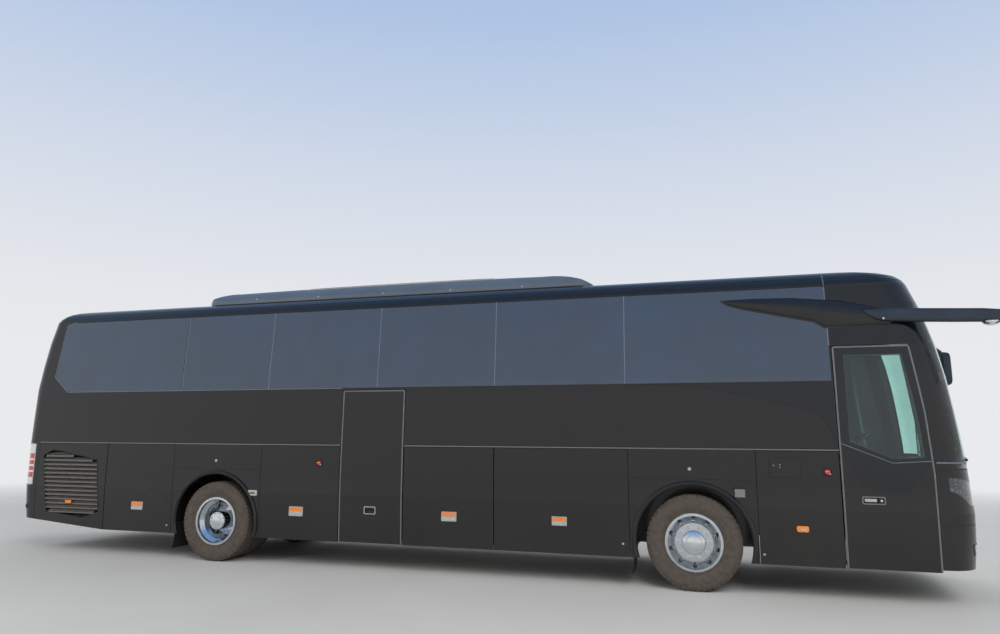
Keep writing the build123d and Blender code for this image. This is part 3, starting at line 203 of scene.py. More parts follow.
def turned(profile, centre, side=1.0, segments=48, axis=1, phase=0.0):
    """A profile of radius and height turned about an axis through centre: point = centre + radius *
    (cos, sin) in the cross plane + side * height along the axis. A profile that doesn't end where it
    began is closed at the axis."""
    profile = np.asarray(profile, float)
    ring = np.allclose(profile[0], profile[-1])
    if ring:
        profile = profile[:-1]
    else:
        profile = np.concatenate([profile[:1] * (0, 1), profile, profile[-1:] * (0, 1)])
    angle = phase + 2 * np.pi * np.arange(segments) / segments
    points = np.empty((segments, len(profile), 3))
    first, second = [index for index in range(3) if index != axis]
    points[..., first] = np.cos(angle)[:, None] * profile[:, 0]
    points[..., second] = np.sin(angle)[:, None] * profile[:, 0]
    points[..., axis] = side * profile[:, 1]
    faces = grid_faces(segments, len(profile), wrap_rows=True, wrap_columns=ring)
    return points.reshape(-1, 3) + np.asarray(centre, float), faces


def slab(front, back):
    """A closed sheet between two grids of points of the same shape, joined round their rims."""
    rows, columns = front.shape[:2]
    count = rows * columns
    index = np.arange(count).reshape(rows, columns)
    rim = np.concatenate([index[0, :-1], index[:-1, -1], index[-1, :0:-1], index[:0:-1, 0]])
    after = np.roll(rim, -1)
    faces = grid_faces(rows, columns)
    faces += [[corner + count for corner in face[::-1]] for face in faces]
    faces += np.stack([rim, after, after + count, rim + count], -1).tolist()
    return np.concatenate([front.reshape(-1, 3), back.reshape(-1, 3)]), faces


def on_right_or_left(side):
    """Places outlines in x and z on one side, so much off the skin."""
    def place(outline, lift):
        x, z = outline[..., 0], outline[..., 1]
        return np.stack([x, side * (side_skin(x, z) + lift), z], -1)
    return place


def on_nose(outline, lift):
    """Places outlines in y and z on the nose, so much off the skin."""
    y, z = outline[..., 0], outline[..., 1]
    return np.stack([nose_skin(y, z) + lift, y, z], -1)


def on_tail(outline, lift):
    """Places outlines in y and z on the tail, so much off the skin."""
    y, z = outline[..., 0], outline[..., 1]
    return np.stack([tail_skin(y, z) - lift, y, z], -1)


def patch(along, bottom, top, place, lift, rows=10, foot=-0.001):
    """A sheet with columns at the along values and rows spread evenly from the bottom to the top edge
    there, laid on the skin."""
    along, bottom, top = np.broadcast_arrays(np.asarray(along, float), bottom, top)
    share = np.linspace(0, 1, rows)[:, None]
    up = bottom + (top - bottom) * share
    outline = np.stack([np.broadcast_to(along, up.shape), up], -1)
    return slab(place(outline, lift), place(outline, foot))


def border(outer, inner, place, lift, step=0.15):
    """A flat ring between two outlines with the same corners, laid on the skin: loops run from the
    outer foot over the face to the inner foot, each a share of the way between the outlines."""
    outer, inner = np.asarray(outer, float), np.asarray(inner, float)
    parts = []
    for index in range(len(outer)):
        following = (index + 1) % len(outer)
        count = max(1, int(np.ceil(np.linalg.norm(outer[following] - outer[index]) / step)))
        share = (np.arange(count) / count)[:, None]
        parts.append(
            np.stack([
                outer[index] + (outer[following] - outer[index]) * share,
                inner[index] + (inner[following] - inner[index]) * share,
            ])
        )
    pairs = np.concatenate(parts, 1)
    loops = [place(pairs[0], -0.001)]
    for share in np.linspace(0, 1, 5):
        loops.append(place(pairs[0] * (1 - share) + pairs[1] * share, lift))
    loops.append(place(pairs[1], -0.001))
    points = np.stack(loops)
    return points.reshape(-1, 3), grid_faces(len(loops), pairs.shape[1], wrap_rows=True, wrap_columns=True)


def nose_path(z):
    """A path round the nose at one height, from the right side to the left: corner arcs and the bow."""
    half = HALF_WIDTH - float(skin_levels(z)[0])
    inner = half - NOSE_CORNER
    corner = inner + NOSE_CORNER * np.sin(np.linspace(np.pi / 2, 0.05, 12))
    y = np.concatenate([-corner, np.linspace(-inner, inner, 25), corner[::-1]])
    return np.column_stack([nose_skin(y, z), y, np.full(len(y), z)])


def tail_path(z):
    """A path round the tail at one height, from the left side to the right."""
    half = HALF_WIDTH - float(skin_levels(z)[0])
    inner = half - TAIL_CORNER
    corner = inner + TAIL_CORNER * np.sin(np.linspace(np.pi / 2, 0.05, 10))
    y = np.concatenate([corner, np.linspace(inner, -inner, 9), -corner[::-1]])
    return np.column_stack([tail_skin(y, z), y, np.full(len(y), z)])


def round_end(profile, path):
    """A profile carried round an end of the body, facing away from it."""
    outward = np.cross(unit(np.gradient(path, axis=0)), (0, 0, 1))
    return carried(profile, path, outward)


def rounded_rectangle(width, height, radius, steps=5):
    """Outline of a rectangle whose corners are quarter arcs."""
    quarter = np.linspace(0, np.pi / 2, steps)
    corners = []
    for index, (sx, sy) in enumerate(((1, 1), (-1, 1), (-1, -1), (1, -1))):
        angle = quarter + index * np.pi / 2
        centre = (sx * (width / 2 - radius), sy * (height / 2 - radius))
        corners.append(np.stack([np.cos(angle), np.sin(angle)], -1) * radius + centre)
    return np.concatenate(corners)


def rounded(points, radius, steps=5, closed=True):
    """An outline whose corners are cut back by the radius and bridged by a parabola."""
    points = np.asarray(points, float)
    t = np.linspace(0, 1, steps)[:, None]
    result = []
    for index, corner in enumerate(points):
        if not closed and index in (0, len(points) - 1):
            result.append(corner[None])
            continue
        before, after = points[index - 1], points[(index + 1) % len(points)]
        reach = min(radius, 0.45 * np.linalg.norm(before - corner), 0.45 * np.linalg.norm(after - corner))
        start = corner + unit(before - corner) * reach
        end = corner + unit(after - corner) * reach
        result.append((1 - t) ** 2 * start + 2 * t * (1 - t) * corner + t**2 * end)
    return np.concatenate(result)


def dense(points, step, closed=False):
    """Points put along straight runs no more than a step apart."""
    points = np.asarray(points, float)
    ends = np.concatenate([points, points[:1]]) if closed else points
    result = []
    for start, end in zip(ends[:-1], ends[1:]):
        count = max(1, int(np.ceil(np.linalg.norm(end - start) / step)))
        share = np.arange(count)[:, None] / count
        result.append(start + (end - start) * share)
    if not closed:
        result.append(ends[-1:])
    return np.concatenate(result)


def stacked(outline, levels):
    """A closed plate from an outline about its own middle: each level scales it by a share of its size
    and lifts it; the first and last levels are closed flat. Local axes are (along, up, out)."""
    outline = np.asarray(outline, float)
    rings = []
    for share, lift in levels:
        rings.append(np.column_stack([outline * share, np.full(len(outline), lift)]))
    count = len(outline)
    faces = grid_faces(len(levels), count, wrap_columns=True)
    faces += [list(range(count)), list(range((len(levels) - 1) * count, len(levels) * count))]
    return np.concatenate(rings), faces


def scaled(outline, share):
    """An outline drawn out from its middle to a share of its size."""
    centre = outline.mean(0)
    return centre + (outline - centre) * share


def on_side(shape, x, z, side, lift=0.0):
    """A shape in (along, up, out) set on the body's side at x and z."""
    points, faces = shape
    base = side_skin(x, z)
    placed = np.column_stack([x + points[:, 0], side * (base + lift + points[:, 2]), z + points[:, 1]])
    return placed, faces


def joined(shapes):
    """Several shapes as one."""
    points, faces, base = [], [], 0
    for some_points, some_faces in shapes:
        points.append(some_points)
        faces += [[index + base for index in face] for face in some_faces]
        base += len(some_points)
    return np.concatenate(points), faces


WELD = 2e-5
# The slot that a finish belongs to where the piece names no other
SLOTS = {
    "body_paint": ("enamel", "anodised", "gasket", "sealant"),
    "gloss_panel": ("gloss", "frit"),
    "mirror_black": ("rubber", "moulding", "liner", "arm"),
    "rim": ("wheel", "chrome", "zinc", "mirror"),
    "lamp": ("amber", "white", "smoked", "red"),
    "trim": ("dash", "leather"),
    "tyre": ("tyre",),
    "chassis": ("louvre",),
    "roof_unit": ("rail",),
    "arm_steel": ("chassis",),
    "seat_fabric": ("moquette",),
}


def object_of(name, shape):
    """An object in the scene whose mesh is welded and faces outwards."""
    points, faces = shape
    mesh = bpy.data.meshes.new(name)
    mesh.from_pydata(points.tolist(), [], faces)
    work = bmesh.new()
    work.from_mesh(mesh)
    bmesh.ops.remove_doubles(work, verts=work.verts, dist=WELD)
    bmesh.ops.recalc_face_normals(work, faces=work.faces)
    work.to_mesh(mesh)
    work.free()
    thing = bpy.data.objects.new(name, mesh)
    bpy.context.scene.collection.objects.link(thing)
    return thing


def piece(name, shape, finish, body="body", smooth=40.0, slot=""):
    """A finished piece: its mesh, smooth below an angle, its material and body; its slot is looked up but not
    kept.
    """
    thing = object_of(name, shape)
    mesh = thing.data
    mesh.materials.append(finish_of(finish))
    mesh.polygons.foreach_set("use_smooth", [True] * len(mesh.polygons))
    mesh.set_sharp_from_angle(angle=np.radians(smooth))
    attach(thing, body)
    slot or next(key for key, finishes in SLOTS.items() if finish in finishes)
    return thing


# Materials


def linear(text):
    """Hex sRGB to linear red, green, blue and alpha; a colour that is linear already stays."""
    if not isinstance(text, str):
        return tuple(text)
    channels = np.array([int(text[place : place + 2], 16) for place in (1, 3, 5)]) / 255
    values = np.where(channels <= 0.04045, channels / 12.92, ((channels + 0.055) / 1.055) ** 2.4)
    return (*values.tolist(), 1.0)


def add(tree, kind, inputs=(), **settings):
    """A node with its settings, and its inputs given as values or as another node's output."""
    made = tree.nodes.new(kind)
    for key, value in settings.items():
        setattr(made, key, value)
    for key, value in dict(inputs).items():
        if isinstance(value, bpy.types.NodeSocket):
            tree.links.new(value, made.inputs[key])
        else:
            made.inputs[key].default_value = value
    return made


def blend(tree, share, first, second):
    """The colour between two others by a share."""
    inputs = {"Factor": share, "A": first, "B": second}
    return add(tree, "ShaderNodeMix", inputs, data_type="RGBA").outputs["Result"]


def raised(tree, shader, height, distance, strength):
    """A bump on a shader's surface."""
    relief = add(tree, "ShaderNodeBump", {"Height": height, "Distance": distance, "Strength": strength})
    tree.links.new(relief.outputs[0], shader.inputs["Normal"])


def blank(name):
    """A new material with its tree, shader and object coordinates."""
    made = bpy.data.materials.new(name)
    made.use_nodes = True
    tree = made.node_tree
    tree.nodes.clear()
    place = add(tree, "ShaderNodeTexCoord").outputs["Object"]
    shader = add(tree, "ShaderNodeBsdfPrincipled")
    output = add(tree, "ShaderNodeOutputMaterial")
    tree.links.new(shader.outputs[0], output.inputs[0])
    return made, tree, place, shader


def finish_surface(tree, place, shader, light, dark, patch_mm, grain_mm, bump_mm, rough, spread, dust=None):
    """Colour that drifts in patches and grains, roughness that follows it, and a fine bump."""
    patch = add(tree, "ShaderNodeTexNoise", {"Vector": place, "Scale": 1000 / patch_mm, "Detail": 4.0})
    grain = add(tree, "ShaderNodeTexNoise", {"Vector": place, "Scale": 1000 / grain_mm, "Detail": 2.0})
    both = add(tree, "ShaderNodeMath", {0: patch.outputs[0], 1: grain.outputs[0]}, operation="MULTIPLY")
    share = add(tree, "ShaderNodeMapRange", {0: both.outputs[0], 1: 0.12, 2: 0.40}).outputs[0]
    shown = blend(tree, share, linear(dark), linear(light))
    # A brownish tone that grows towards the bottom: road dust on the chassis and cast iron, and on the enamel
    # a painted reflection of the ground
    if dust:
        tone, top, depth, most = dust
        height = add(tree, "ShaderNodeSeparateXYZ", {0: place}).outputs["Z"]
        fall = add(tree, "ShaderNodeMapRange", {0: height, 1: top, 2: top - depth, 3: 0.0, 4: most})
        lower_tone_share = add(tree, "ShaderNodeMath", {0: fall.outputs[0], 1: patch.outputs[0]}, operation="MULTIPLY")
        shown = blend(tree, lower_tone_share.outputs[0], shown, linear(tone))
    tree.links.new(shown, shader.inputs["Base Color"])
    span = {1: 0.3, 2: 0.7, 3: rough - spread, 4: rough + spread}
    varied = add(tree, "ShaderNodeMapRange", {0: patch.outputs[0], **span})
    tree.links.new(varied.outputs[0], shader.inputs["Roughness"])
    raised(tree, shader, grain.outputs[0], bump_mm / 1000, 0.6)
    return share


def simple(name, light, dark, patch_mm, grain_mm, bump_mm, rough, spread, dust=None, **sockets):
    """A material of one recipe; the other sockets hold the same value all over."""
    made, tree, place, shader = blank(name)
    finish_surface(tree, place, shader, light, dark, patch_mm, grain_mm, bump_mm, rough, spread, dust)
    for key, value in sockets.items():
        shader.inputs[key.replace("_", " ")].default_value = value
    return made


# Recipes: common name, light and dark tone, size of the patches and the grain in mm, depth of the grain in
# mm, roughness and its spread, a brownish tone towards the bottom where there is any (road dust on the
# chassis and cast iron, a painted reflection of the ground on the enamel: its tone, the height where it
# starts, how far down it grows and the most of it), and the sockets that hold one value all over
RECIPES = {
    # Acrylic lacquer over moulded panels: black and mirror smooth
    "gloss": ("black_lacquered_acrylic", "#0d1218", "#080b0f", 600, 3.0, 0.01, 0.08, 0.03, {}),
    # Laminated float glass: clear with a green-blue cast
    "laminated": (
        "laminated_float_glass", "#d3f0ea", "#c4e8e0", 1500, 400, 0.01, 0.015, 0.005,
        {"IOR": 1.52, "Transmission Weight": 1.0},
    ),
    # Ceramic frit fired round the glass: black, less glossy than the glass
    "frit": ("fired_ceramic_frit", "#14181b", "#0e1113", 500, 4.0, 0.01, 0.16, 0.03, {}),
    # EPDM rubber, extruded: dull black with a fine skin
    "rubber": ("extruded_epdm_rubber", "#232323", "#191919", 60, 2.0, 0.08, 0.7, 0.08, {}),
    # Anodised aluminium extrusion: satin light grey with fine drawing marks
    "anodised": ("anodised_aluminium", "#8f9191", "#7b7d7e", 80, 1.2, 0.02, 0.38, 0.06, {"Metallic": 0.85}),
    # Extruded silicone gasket in the door seams: matt mid grey
    "gasket": ("grey_silicone_gasket", "#6c6e70", "#5a5c5f", 70, 2.0, 0.06, 0.55, 0.08, {}),
    # Sealant between the panes: thin blue-grey
    "sealant": ("polyurethane_sealant", "#6d7780", "#5d666e", 70, 2.0, 0.05, 0.5, 0.08, {}),
    # Tyre rubber, moulded: brown-grey with dried dust
    "tyre": ("moulded_tyre_rubber", "#60574f", "#443d37", 45, 3.0, 0.4, 0.86, 0.07, {}),
    # Polished forged aluminium wheel: bright, with faint turning haze
    "wheel": (
        "polished_forged_aluminium", "#d3d7da", "#b4babf", 90, 1.5, 0.015, 0.12, 0.05, {"Metallic": 1.0}
    ),
    # Chrome plate on the hub caps, nuts and small fittings
    "chrome": ("chrome_plate", "#e6e7e8", "#d3d6d8", 50, 2.0, 0.01, 0.07, 0.02, {"Metallic": 1.0}),
    # Polyurethane moulding, in-mould grained: soft black
    "moulding": ("grained_polyurethane", "#262729", "#1b1c1d", 120, 1.6, 0.12, 0.48, 0.06, {}),
    # Powder-coated chassis steel: black, with road dust
    "chassis": (
        "powder_coated_steel", "#2d2b29", "#1d1c1b", 200, 3.0, 0.15, 0.62, 0.08,
        ("#5a5148", 1.0, 0.9, 0.9), {},
    ),
    # Grey cast iron, painted thin: rough skin
    "cast": (
        "painted_cast_iron", "#3a3938", "#262524", 120, 4.0, 0.4, 0.68, 0.08,
        ("#5a5148", 1.0, 0.9, 0.9), {},
    ),
    # Rolled steel louvres, painted thin: drawn dull grey, a painted highlight of the sky light that their
    # upward faces catch
    "louvre": ("painted_steel_louvre", "#716b62", "#57524b", 60, 4.0, 0.1, 0.5, 0.08, {"Metallic": 0.2}),
    # Liner plastic behind the louvres and in the pulls' pockets: dull black
    "liner": ("polypropylene_liner", "#1b1b1b", "#121212", 90, 3.0, 0.2, 0.78, 0.08, {}),
    # Vinyl floor covering with a speckle
    "floor": ("speckled_vinyl", "#5b5752", "#3c3936", 4.0, 2.0, 0.05, 0.55, 0.07, {}),
    # Interior moulding: warm light grey ABS
    "interior": ("moulded_abs", "#a7a49d", "#96938d", 200, 1.5, 0.08, 0.55, 0.05, {}),
    # Dashboard skin: dark slush-moulded vinyl
    "dash": ("slush_moulded_vinyl", "#313335", "#232527", 150, 2.0, 0.2, 0.6, 0.06, {}),
    # Amber acrylic reflector
    "amber": ("amber_acrylic", "#f08a1c", "#d96f0c", 20, 3.0, 0.15, 0.18, 0.05, {"Coat Weight": 0.8}),
    # White acrylic reflector field
    "white": ("white_acrylic", "#bcb9b2", "#9f9d98", 20, 3.0, 0.15, 0.25, 0.05, {"Coat Weight": 0.5}),
    # Acrylic window that has gone grey with dust
    "smoked": ("dusty_acrylic", "#7d7f7c", "#676967", 20, 3.0, 0.1, 0.4, 0.06, {}),
    # Red acrylic lens
    "red": ("red_acrylic", "#c8161a", "#9c0d12", 20, 3.0, 0.15, 0.16, 0.04, {"Coat Weight": 0.8}),
    # Zinc die casting, painted silver
    "zinc": ("silver_painted_zinc", "#c4c5c5", "#a9abac", 40, 1.5, 0.03, 0.35, 0.06, {"Metallic": 0.6}),
    # Stainless tube, brushed
    "steel": ("brushed_stainless", "#b9babb", "#a3a5a7", 60, 1.0, 0.02, 0.3, 0.06, {"Metallic": 1.0}),
    # Glass-filled nylon of the mirror arms and heads: satin black, with a blue cast that is a painted
    # reflection of the sky
    "arm": ("glass_filled_nylon", "#1f2a36", "#17202a", 200, 2.0, 0.06, 0.36, 0.05, {}),
    # Glass-fibre pod, painted metallic: drawn in a light blue-grey that is a painted reflection of the sky on
    # its dark paint
    "pod": ("painted_glass_fibre", "#626c77", "#535c66", 700, 2.0, 0.03, 0.34, 0.05, {"Metallic": 0.3}),
    # Rolled aluminium rails on the pod: pale, a painted highlight where the pod's top edges catch the light
    "rail": ("weathered_aluminium", "#b4b2ac", "#97958f", 120, 2.0, 0.05, 0.5, 0.08, {"Metallic": 0.5}),
    # Mirror silvering
    "mirror": ("silvered_mirror", "#e9ebec", "#dfe2e3", 300, 20, 0.005, 0.03, 0.01, {"Metallic": 1.0}),
    # Synthetic leather on headrests
    "leather": ("synthetic_leather", "#2a2b2e", "#1d1e20", 25, 1.8, 0.35, 0.5, 0.06, {}),
}


def make_materials():
    """Every finish of the coach, by its short name."""
    found = {}
    for short, (*values, sockets) in RECIPES.items():
        found[short] = simple(*values, **sockets)
    # Metallic enamel under clear lacquer: dark anthracite, brownish towards the skirt, where the brown is a
    # painted reflection of a concrete ground
    colour = np.array(settings().body_colour)
    found["enamel"] = simple(
        "anthracite_metallic_enamel", colour, colour * (0.8, 0.8, 0.8, 1.0), 900, 1.5, 0.02, 0.26, 0.04,
        ("#2e2a26", 1.15, 0.85, 0.8), Metallic=0.15, Coat_Weight=0.25, Coat_Roughness=0.07,
    )
    # Toughened privacy glass: deep blue under a clear coat tinted pale blue, seen through only faintly
    found["privacy"] = simple(
        "toughened_privacy_glass", settings().glass_colour, "#0d2b44", 1500, 400, 0.01, 0.03, 0.01, IOR=1.52,
        Transmission_Weight=0.35, Coat_Weight=0.75, Coat_IOR=1.9, Coat_Roughness=0.01,
        Coat_Tint=linear("#b9d8ee"),
    )
    dust_and_shade_inboard(found["wheel"])
    # Woven moquette: deep blue-grey pile
    found["moquette"] = woven("woven_moquette", "#2f3644", "#222733", "#8a8f9a")
    found["lens"] = lamp_lens()
    return found


def dust_and_shade_inboard(made):
    """Brake dust and painted shade on the wheels, inboard of the disc's face: black-brown and dull."""
    tree = made.node_tree
    shader = next(node for node in tree.nodes if node.type == "BSDF_PRINCIPLED")
    place = add(tree, "ShaderNodeTexCoord").outputs["Object"]
    parts = add(tree, "ShaderNodeSeparateXYZ", {0: place})
    reach = add(tree, "ShaderNodeMath", {0: parts.outputs["Y"]}, operation="ABSOLUTE").outputs[0]
    ahead = add(tree, "ShaderNodeMath", {0: parts.outputs["X"], 1: 0.0}, operation="GREATER_THAN").outputs[0]
    face = add(
        tree, "ShaderNodeMapRange",
        {0: ahead, 3: OUTER_TWIN_Y + REAR_FACE - 0.012, 4: FRONT_WHEEL_Y + FRONT_FACE - 0.086},
    ).outputs[0]
    inboard = add(tree, "ShaderNodeMath", {0: reach, 1: face}, operation="LESS_THAN").outputs[0]
    # Black-brown, dull and not metallic inboard of the disc's face: brake dust, and painted shade inside the
    # wheel that darkens it behind the hand holes
    for socket, dusty_and_shaded in (("Base Color", linear("#171412")), ("Metallic", 0.0), ("Roughness", 0.8)):
        value = shader.inputs[socket]
        clean = value.links[0].from_socket if value.links else value.default_value
        kind = "RGBA" if socket == "Base Color" else "FLOAT"
        mixed = add(tree, "ShaderNodeMix", {"Factor": inboard, "A": clean, "B": dusty_and_shaded}, data_type=kind)
        tree.links.new(mixed.outputs["Result"], value)


def woven(name, light, dark, fleck):
    """Moquette: threads drawn 6 mm apart, coarser than real ones so that they show, with light flecks."""
    made, tree, place, shader = blank(name)
    finish_surface(tree, place, shader, light, dark, 40, 2.5, 0.4, 0.85, 0.05)
    threads = {"Vector": place, "Scale": 1000 / 6 / 6.28, "Distortion": 1.5, "Detail": 1.0}
    weave = add(tree, "ShaderNodeTexWave", threads)
    spots = add(tree, "ShaderNodeTexVoronoi", {"Vector": place, "Scale": 1000 / 35})
    near = add(tree, "ShaderNodeMapRange", {0: spots.outputs["Distance"], 1: 0.10, 2: 0.05, 3: 0.0, 4: 0.8})
    pile = shader.inputs["Base Color"].links[0].from_socket
    tree.links.new(blend(tree, near.outputs[0], pile, linear(fleck)), shader.inputs["Base Color"])
    raised(tree, shader, weave.outputs[1], 0.0008, 0.7)
    shader.inputs["Sheen Weight"].default_value = 0.4
    return made


def lamp_lens():
    """Polycarbonate lamp covers, drawn opaque: dark reflector cells at the nose, bands at the tail."""
    made, tree, place, shader = blank("polycarbonate_lamp_cover")
    parts = add(tree, "ShaderNodeSeparateXYZ", {0: place})
    # Reflector cells behind the cover, 45 mm across
    reflectors = {"Vector": place, "Scale": 1000 / 45}
    cells = add(tree, "ShaderNodeTexVoronoi", reflectors, feature="DISTANCE_TO_EDGE")
    silver = add(tree, "ShaderNodeValToRGB", {0: cells.outputs["Distance"]})
    silver.color_ramp.elements[0].color = linear("#181b1e")
    silver.color_ramp.elements[1].color = linear("#4a5055")
    silver.color_ramp.elements[1].position = 0.35
    # Bands of the tail lamp by its height: clear at both ends, four red blocks between
    height = add(tree, "ShaderNodeMapRange", {0: parts.outputs["Z"], 1: 0.916, 2: 1.483})
    bands = add(tree, "ShaderNodeValToRGB", {0: height.outputs[0]})
    ramp = bands.color_ramp
    ramp.interpolation = "CONSTANT"
    clear, bright, deep = "#c6c9ca", "#b5161a", "#8d1013"
    stops = (
        (0.0, clear), (0.17, deep), (0.19, bright), (0.29, clear), (0.34, bright), (0.44, clear),
        (0.49, bright), (0.59, clear), (0.64, bright), (0.74, deep), (0.76, clear),
    )
    while len(ramp.elements) < len(stops):
        ramp.elements.new(0.5)
    for element, (at, tone) in zip(ramp.elements, stops):
        element.position, element.color = at, linear(tone)
    front = add(tree, "ShaderNodeMath", {0: parts.outputs["X"], 1: 0.0}, operation="GREATER_THAN")
    shown = blend(tree, front.outputs[0], bands.outputs[0], silver.outputs[0])
    tree.links.new(shown, shader.inputs["Base Color"])
    # Flutes on the inside of the cover, drawn 24 mm apart so that they show
    flutes = add(tree, "ShaderNodeTexWave", {"Vector": place, "Scale": 1000 / 24 / 6.28}, bands_direction="Y")
    raised(tree, shader, flutes.outputs[1], 0.0005, 0.4)
    shader.inputs["Roughness"].default_value = 0.1
    shader.inputs["Coat Weight"].default_value = 1.0
    shader.inputs["Coat Roughness"].default_value = 0.03
    return made


MATERIALS = {}


def finish_of(name):
    """A finish by its short name, made on first use."""
    if not MATERIALS:
        MATERIALS.update(make_materials())
    return MATERIALS[name]


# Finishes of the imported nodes
NODE_FINISH = {
    "enamel": (
        "right_side_wall", "left_side_wall", "arch_panels", "roof", "front_panel", "front_bumper",
        "rear_panel", "rear_bumper", "engine_lid", "front_door", "mid_door", "fuel_flap",
        *(
            f"{side}_{flap}"
            for side in ("right", "left")
            for flap in (
                "luggage_flap_1", "luggage_flap_2", "luggage_flap_3", "rear_service_flap",
                "front_service_flap", "grille_door",
            )
        ),
    ),
    # The pod's colour paints the sky's reflection on its dark paint
    "pod": ("aircon_unit",),
    "privacy": ("side_windows", "rear_window"),
    "laminated": ("windscreen", "front_door_glass"),
    "chassis": ("underframe", "bulkheads"),
    "cast": ("front_axle", "rear_axle", "front_left_knuckle", "front_right_knuckle", "engine"),
    "wheel": ("front_left_rim", "front_right_rim", "rear_left_rims", "rear_right_rims"),
    "floor": ("saloon_floor", "luggage_floor"),
    "interior": ("luggage_racks",),
    "dash": ("dashboard",),
    "moulding": ("wipers",),
    "leather": ("steering_wheel",),
    "steel": ("front_door_arm", "mid_door_arm"),
    "lens": ("lamps",),
}


class CoachFinish(bpy.types.PropertyGroup):
    """Sizes and colours that a user would change."""

    tread_depth: bpy.props.FloatProperty(
        name="Tread depth", description="Depth of the tyre grooves", default=0.012, unit="LENGTH"
    )
    tread_blocks: bpy.props.IntProperty(
        name="Tread blocks", description="Number of shoulder blocks round a tyre", default=56, min=8
    )
    strip_width: bpy.props.FloatProperty(
        name="Door seam", description="Width of the seams round the doors", default=0.017, unit="LENGTH"
    )
    body_colour: bpy.props.FloatVectorProperty(
        name="Body", description="Colour of the enamel", subtype="COLOR", size=4, min=0, max=1,
        default=linear("#121112"),
    )
    glass_colour: bpy.props.FloatVectorProperty(
        name="Glass", description="Colour of the privacy glass", subtype="COLOR", size=4, min=0, max=1,
        default=linear("#123a59"),
    )
    floor_colour: bpy.props.FloatVectorProperty(
        name="Floor", description="Colour of the studio floor", subtype="COLOR", size=4, min=0, max=1,
        default=linear("#d9d8d4"),
    )
    backdrop_colour: bpy.props.FloatVectorProperty(
        name="Backdrop", description="Colour behind the coach", subtype="COLOR", size=4, min=0, max=1,
        default=linear("#e9eaec"),
    )


def settings():
    return bpy.context.scene.coach_finish


class COACH_OT_paint(bpy.types.Operator):
    """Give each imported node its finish"""

    bl_idname = "coach.paint"
    bl_label = "Paint the body"

    def execute(self, context):
        for finish, names in NODE_FINISH.items():
            for name in names:
                mesh = NODES[name].data
                mesh.materials.clear()
                mesh.materials.append(finish_of(finish))
        return {"FINISHED"}


# Tyres


def tyre_shape(centre_y, axle_x, side):
    """A tyre as radius and width over an angle and a section: the section's tread is cut by round
    grooves and, between evenly spaced angles, by shoulder grooves."""
    depth, blocks = settings().tread_depth, settings().tread_blocks
    crown = WHEEL_RADIUS - 0.0002
    half_tread = 0.118
    across = np.linspace(-half_tread, half_tread, 61)
    tread = crown - 0.004 * (across / half_tread) ** 2
    for groove in (-0.072, -0.026, 0.026, 0.072):
        tread = tread - depth * (np.abs(across - groove) < 0.0065)
    wall_angle = np.linspace(0, 1, 26)[1:]
    wall_radius = crown - 0.006 - (crown - 0.006 - 0.313) * wall_angle
    bulge = 0.1205 + 0.0265 * np.sin(np.pi * np.clip(wall_angle * 1.08, 0, 1)) ** 0.8
    ribs = 0.0016 * (np.abs(((wall_radius - 0.335) / 0.014) % 1 - 0.5) < 0.2) * (wall_radius < 0.375)
    ribs = ribs + 0.0022 * (np.abs(wall_radius - 0.455) < 0.005)
    wall_width = bulge + ribs
    bead = np.array([(0.309, 0.118), (0.3072, 0.112), (0.290, 0.108)])
    radius = np.concatenate([tread, wall_radius, bead[:, 0], bead[::-1, 0], wall_radius[::-1]])
    width = np.concatenate([across, wall_width, bead[:, 1], -bead[::-1, 1], -wall_width[::-1]])
    segments = blocks * 6
    angle = 2 * np.pi * np.arange(segments) / segments
    notch = (np.arange(segments) % 6 < 2).astype(float)[:, None]
    shoulder = ((np.abs(width) > 0.082) & (radius > 0.478)).astype(float)[None, :]
    middle_rib = ((np.abs(width) < 0.020) & (radius > 0.478)).astype(float)[None, :]
    late = (np.arange(segments) % 6 == 4).astype(float)[:, None]
    cut = radius[None, :] - depth * 0.8 * notch * shoulder - depth * 0.35 * late * middle_rib
    points = np.stack(
        [
            axle_x + cut * np.cos(angle)[:, None],
            np.broadcast_to(side * (centre_y + width), cut.shape),
            WHEEL_Z + cut * np.sin(angle)[:, None],
        ],
        -1,
    )
    return points.reshape(-1, 3), grid_faces(segments, len(radius), wrap_rows=True, wrap_columns=True)


WHEELS = (
    # tyre node, body, axle x, places of the tyres' middles, side
    ("front_left_tyre", "front_left_wheel", FRONT_AXLE_X, (FRONT_WHEEL_Y,), 1),
    ("front_right_tyre", "front_right_wheel", FRONT_AXLE_X, (FRONT_WHEEL_Y,), -1),
    ("rear_left_tyres", "rear_left_wheels", REAR_AXLE_X, (OUTER_TWIN_Y, INNER_TWIN_Y), 1),
    ("rear_right_tyres", "rear_right_wheels", REAR_AXLE_X, (OUTER_TWIN_Y, INNER_TWIN_Y), -1),
)


class COACH_OT_tyres(bpy.types.Operator):
    """Make the treaded tyres in place of the plain ones"""

    bl_idname = "coach.tyres"
    bl_label = "Tyres"

    def execute(self, context):
        for node, body, axle_x, places, side in WHEELS:
            shape = joined([tyre_shape(y, axle_x, side) for y in places])
            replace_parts(piece(node + "_tread", shape, "tyre", body, 30), node)
        return {"FINISHED"}


# Wheel fittings


